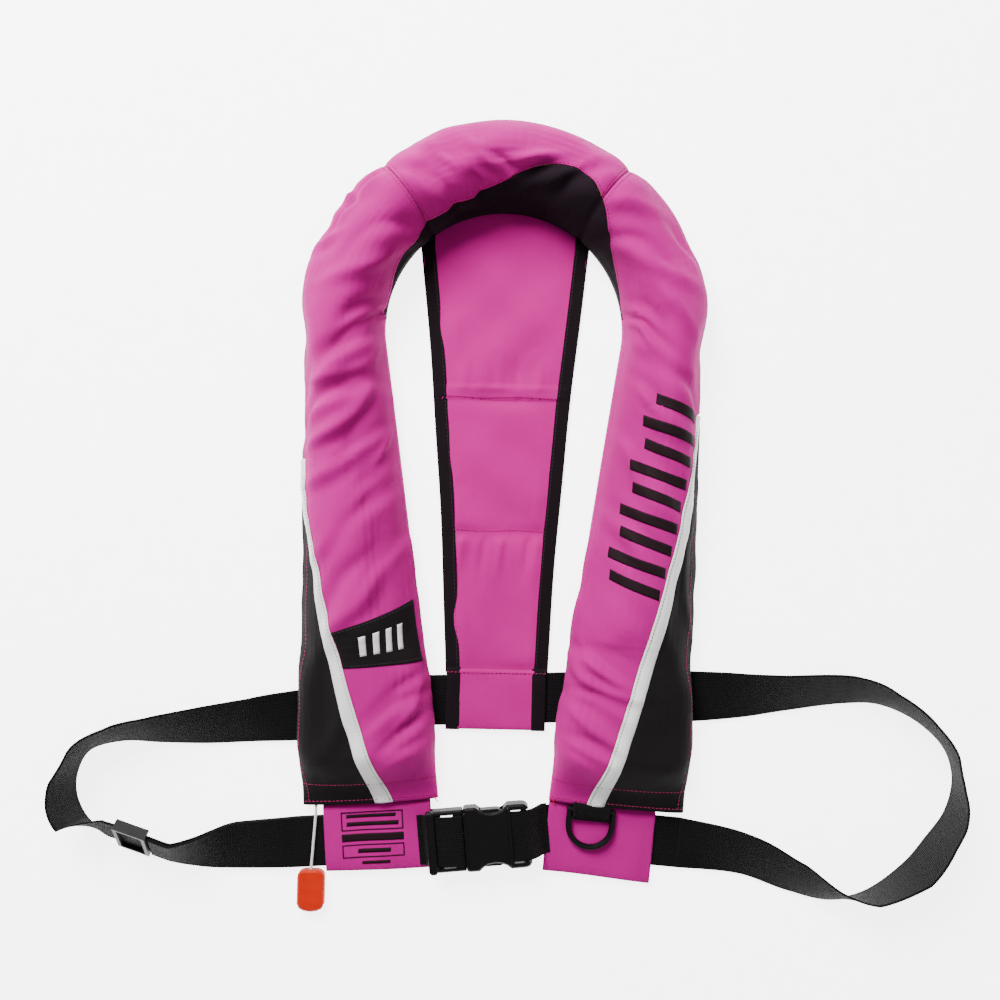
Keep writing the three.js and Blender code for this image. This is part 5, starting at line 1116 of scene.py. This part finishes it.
# The webbing tab sewn under the right hem, folded over the D-ring's bar.
RING_MIDDLE, TAB_WIDE = -19.5, 29
TAB_FOLD = [(5, 6.5), (2, 9.6), (-1.5, 12.9), (-5, 13.3), (-8.5, 12.3), (-11.3, 10.2), (-12.2, 8.2), (-10.6, 6.6),
            (-5.5, 5.7), (-1, 5.4)]
line = rounded_path([(RING_MIDDLE, y, z) for y, z in TAB_FOLD], 6)
face = np.cross(np.gradient(line, axis=0), [1, 0, 0])
face /= np.linalg.norm(face, axis=1, keepdims=True)
across = (ACROSS - 0.5) * TAB_WIDE
run = np.concatenate([[0], np.cumsum(np.linalg.norm(np.diff(line, axis=0), axis=1))])
mid = line[:, None] + across[None, :, None] * np.array([1, 0, 0])
half = face[:, None] * (WEB / 2 * BODY)[None, :, None]
piece = layered("d_ring_tab_webbing", in_hem(1, mid - half), in_hem(1, mid + half), WEBBING,
                np.stack(np.broadcast_arrays(run[:, None], across[None] + 20), -1))
take(piece, ["d_ring_tab"])


def rounded_bar(name, x0, x1, y0, y1, z0, z1, body, corner):
    """A moulded block with rounded edges, in the buckle's own frame."""
    n, m = 24, 40
    u, v = np.meshgrid(np.linspace(0, 1, n), np.arange(m) * 2 * math.pi / m, indexing="ij")
    soft = lambda a, p: np.sign(a) * np.abs(a) ** p
    end = np.clip(np.minimum(u, 1 - u) * (y1 - y0) / corner, 0, 1)
    size = 1 - 0.35 * (1 - np.sqrt(1 - (1 - end) ** 2))
    points = np.stack([(x0 + x1) / 2 + soft(np.cos(v), 0.45) * size * (x1 - x0) / 2, lerp(y0, y1, u),
                       (z0 + z1) / 2 + soft(np.sin(v), 0.45) * size * (z1 - z0) / 2], -1)
    faces = rings(n, m)
    faces += [tuple(range(m)), tuple(range((n - 1) * m, n * m))]
    mesh = make_mesh(name, in_buckle(points.reshape(-1, 3)), faces)
    work = bmesh.new()
    work.from_mesh(mesh)
    bmesh.ops.recalc_face_normals(work, faces=work.faces)
    work.to_mesh(mesh)
    work.free()
    return take(link(name, mesh, PLASTIC), body=body)


rounded_bar("buckle_male_end_bar", -29.5, -22.5, -24.6, 24.6, 3.2, 7.6, "buckle_male_half", 3)
rounded_bar("buckle_mouth_rim", 0.2, 2.2, -22, 22, 6.1, 7.2, "jacket", 2)
rounded_bar("buckle_tail_rim", 34.6, 37.0, -23.5, 23.5, 5.9, 7.6, "jacket", 2)
for k in range(5):
    x0 = 13.5 + 3.5 * k
    for side, name in ((1, "upper"), (-1, "lower")):
        y = side * 18.9
        rounded_bar(f"buckle_grip_{name}_{k}", x0, x0 + 1.5, y - 1.6, y + 1.6, 3.4, 4.9, f"prong_{name}", 1)

# ------------------------------------------------------------------ print on the left sleeve
def sleeve_mm(x, y, lift):
    _, _, depth, layers, _, seed = SLEEVES["left"]
    z = 2 * FABRIC + layers + 0.95 + rumpled(x, y + SLEEVE_DROP + depth / 2, seed) + 0.08 + lift
    return in_hem(-1, np.stack([x, y, z], -1))


label = frame_bars(-24, 25, -22.5, -7.5, 0.9) + frame_bars(-24, 25, -44, -33.5, 0.9)
label += [[(-20, -12.2), (19, -12.2), (19.6, -9.6), (-19.4, -9.6)],
          [(-20, -18.8), (21, -18.8), (21.6, -15.6), (-19.4, -15.6)],
          [(-24, -31), (25, -31), (25, -25), (-24, -25)],
          [(-12, -40.3), (14, -40.3), (14.6, -37), (-11.4, -37)],
          [(-9, -49), (13, -49), (13.4, -46.8), (-8.6, -46.8)]]
printed("sleeve_label", sleeve_mm, label, BLACK_PRINT, lift=0.05)


# ------------------------------------------------------------------ stitches
def stitch_nodes():
    """Rice-grain stitches spaced along every line of the input mesh."""
    group = bpy.data.node_groups.new("stitch row", "GeometryNodeTree")
    face = group.interface
    face.new_socket("Geometry", in_out="INPUT", socket_type="NodeSocketGeometry")
    for name, value in (("Pitch", 0.0032), ("Length", 0.0024), ("Width", 0.0006)):
        face.new_socket(name, in_out="INPUT", socket_type="NodeSocketFloat").default_value = value
    face.new_socket("Thread", in_out="INPUT", socket_type="NodeSocketMaterial")
    face.new_socket("Geometry", in_out="OUTPUT", socket_type="NodeSocketGeometry")
    make, join = group.nodes.new, group.links.new
    start, end = make("NodeGroupInput"), make("NodeGroupOutput")
    curve, sample = make("GeometryNodeMeshToCurve"), make("GeometryNodeResampleCurve")
    sample.mode = "LENGTH"
    grain, shape = make("GeometryNodeMeshUVSphere"), make("GeometryNodeTransform")
    grain.inputs["Segments"].default_value = 6
    grain.inputs["Rings"].default_value = 5
    grain.inputs["Radius"].default_value = 0.5
    size = make("ShaderNodeCombineXYZ")
    turn = make("FunctionNodeAlignRotationToVector")
    tangent = make("GeometryNodeInputTangent")
    place = make("GeometryNodeInstanceOnPoints")
    solid = make("GeometryNodeRealizeInstances")
    paint = make("GeometryNodeSetMaterial")
    turn.axis = "Z"
    join(start.outputs["Geometry"], curve.inputs["Mesh"])
    join(curve.outputs["Curve"], sample.inputs["Curve"])
    join(start.outputs["Pitch"], sample.inputs["Length"])
    join(sample.outputs["Curve"], place.inputs["Points"])
    join(start.outputs["Width"], size.inputs["X"])
    join(start.outputs["Width"], size.inputs["Y"])
    join(start.outputs["Length"], size.inputs["Z"])
    join(grain.outputs["Mesh"], shape.inputs["Geometry"])
    join(size.outputs["Vector"], shape.inputs["Scale"])
    join(shape.outputs["Geometry"], place.inputs["Instance"])
    join(tangent.outputs["Tangent"], turn.inputs["Vector"])
    join(turn.outputs["Rotation"], place.inputs["Rotation"])
    join(place.outputs["Instances"], solid.inputs["Geometry"])
    join(solid.outputs["Geometry"], paint.inputs["Geometry"])
    join(start.outputs["Thread"], paint.inputs["Material"])
    join(paint.outputs["Geometry"], end.inputs["Geometry"])
    return group


STITCH = stitch_nodes()


def stitches(name, lines, thread, pitch=3.1, length=2.5, width=0.65, body="jacket"):
    points, edges = [], []
    for line in lines:
        start = len(points)
        points.extend(to_metres(line))
        edges.extend((start + i, start + i + 1) for i in range(len(line) - 1))
    mesh = bpy.data.meshes.new(name + "_line")
    mesh.from_pydata(points, edges, [])
    guide = link(name + "_line", mesh)
    mod = guide.modifiers.new("stitches", "NODES")
    mod.node_group = STITCH
    values = {"Pitch": pitch / 1000, "Length": length / 1000, "Width": width / 1000, "Thread": thread}
    for item in STITCH.interface.items_tree:
        if item.item_type == "SOCKET" and item.in_out == "INPUT" and item.name in values:
            mod[item.identifier] = values[item.name]
    bpy.context.view_layer.update()
    done = bpy.data.meshes.new_from_object(guide.evaluated_get(bpy.context.evaluated_depsgraph_get()))
    bpy.data.objects.remove(guide)
    obj = bpy.data.objects.new(name, done)
    bpy.context.scene.collection.objects.link(obj)
    if not done.materials:
        done.materials.append(thread)
    done.polygons.foreach_set("use_smooth", [True] * len(done.polygons))
    return take(obj, body=body)


def cover_line(s, angle, lift=0.15):
    s, angle = np.broadcast_arrays(np.asarray(s, float), np.asarray(angle, float))
    return cover(s, angle, lift)


pink_rows, dark_rows, grey_rows = [], [], []
for lobe in (LEFT, RIGHT):
    d = np.linspace(4, leg_s(lobe["top"]) - 6, 160)
    s = along(lobe, d)
    side_share = 1 - 4.4 / half_width(s)
    keep = side_share * half_width(s) > np.cos(piping_angle(lobe, s)) * half_width(s) + 6
    pink_rows.append(cover_line(s[keep], np.arccos(side_share[keep])))
    for d0 in (18.0, 3.0):
        s = along(lobe, d0)
        mid = float(piping_angle(lobe, np.array(s)))
        gap = float(half_angle(np.array(s), 9.5))
        pink_rows.append(cover_line(s, np.linspace(0.28, mid - gap, 40)))
        dark_rows.append(cover_line(s, np.linspace(mid + gap, math.pi - 0.25, 40)))
        grey_rows.append(cover_line(s, np.linspace(mid - gap * 0.8, mid + gap * 0.8, 12), 1.2))
    s = along(lobe, np.linspace(2, leg_s(lobe["top"]) - 14, 200))
    mid, reach = piping_angle(lobe, s), half_angle(s, 10.4)
    reach = np.minimum(reach, mid - 0.02)
    grey_rows.append(cover_line(s, mid + reach * 0.66, 0.75))
    pink_rows.append(cover_line(s, mid + reach + half_angle(s, 1.6), 0.0))
for s0 in (SEAM_S, SPINE - SEAM_S):
    for off in (-2.6, 2.6):
        end = float(lining_edge(np.array(s0))) - 0.06
        dark_rows.append(cover_line(s0 + off, np.linspace(0.1, end, 60), 0.05))
s = np.linspace(SPINE / 2 - NECK_START * 0.86, SPINE / 2 + NECK_START * 0.86, 260)
dark_rows.append(cover_line(s, lining_edge(s) - half_angle(s, 5.0), 0.05))
for y0, reach in ((81.6, 0.79), (-24.6, 0.8)):
    x = np.linspace(-reach, reach, 50) * float(panel_half(np.array(y0)))
    dark_rows.append(panel(x, np.full_like(x, y0 + 0.0) + 0.5 * np.sin(x / 9), 0.12))
x = np.linspace(-38.5, 38.5, 60)
pink_rows.append(np.stack([x, np.full_like(x, LOOP_TOP - 2.2), 6.0 + 0 * x + 0.6 * (np.abs(x) > 28)], -1))
fine = []
for side in (-1, 1):
    y = np.linspace(LOOP_TOP + 2, 198, 180)
    fine.append(binding_top(side, np.full_like(y, 0.16), y, 0.1))
a = np.linspace(0, 1, 30)
fine += [patch_point(np.full_like(a, 0.05), a, 0.5), patch_point(np.full_like(a, 0.95), a, 0.5)]
stitches("stitches_pink", pink_rows, PINK_THREAD)
SEAM_THREAD = moulded("seam thread", (0.24, 0.003, 0.07), 0.75)
stitches("stitches_seams", dark_rows, SEAM_THREAD, width=0.6)
stitches("stitches_tape", grey_rows, GREY_THREAD, pitch=2.8, length=2.0, width=0.6)
stitches("stitches_binding", fine, DARK_THREAD, width=0.5)
tacks = []
for side in (-1, 1):
    tacks.append(in_hem(side, [(side * -51 + 0.6 * k, 1.0 - 0.9 * k, 9.2) for k in range(4)]))
stitches("stitches_tacks", tacks, ORANGE, pitch=1.0, length=2.4, width=0.9)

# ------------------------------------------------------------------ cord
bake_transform(cord)
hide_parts("pull_cord")

# ------------------------------------------------------------------ floor and light
bpy.ops.mesh.primitive_plane_add(size=4, location=(0, 0, -0.0006))
floor = bpy.context.object
floor.name = "floor"
floor.data.materials.append(FLOOR)
floor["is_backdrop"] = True


def lamp(name, place, size, power):
    data = bpy.data.lights.new(name, "AREA")
    data.size, data.energy = size, power
    obj = bpy.data.objects.new(name, data)
    bpy.context.scene.collection.objects.link(obj)
    obj.location = place
    obj.rotation_euler = (-Vector(place)).to_track_quat("-Z", "Y").to_euler()


lamp("key", (-0.55, 1.05, 1.1), 0.75, 74)
lamp("fill", (0.9, -0.3, 1.6), 1.6, 6)
world = bpy.data.worlds.new("studio")
bpy.context.scene.world = world
world.use_nodes = True
world.node_tree.nodes["Background"].inputs["Color"].default_value = (1, 1, 1, 1)
world.node_tree.nodes["Background"].inputs["Strength"].default_value = 0.45

low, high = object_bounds()
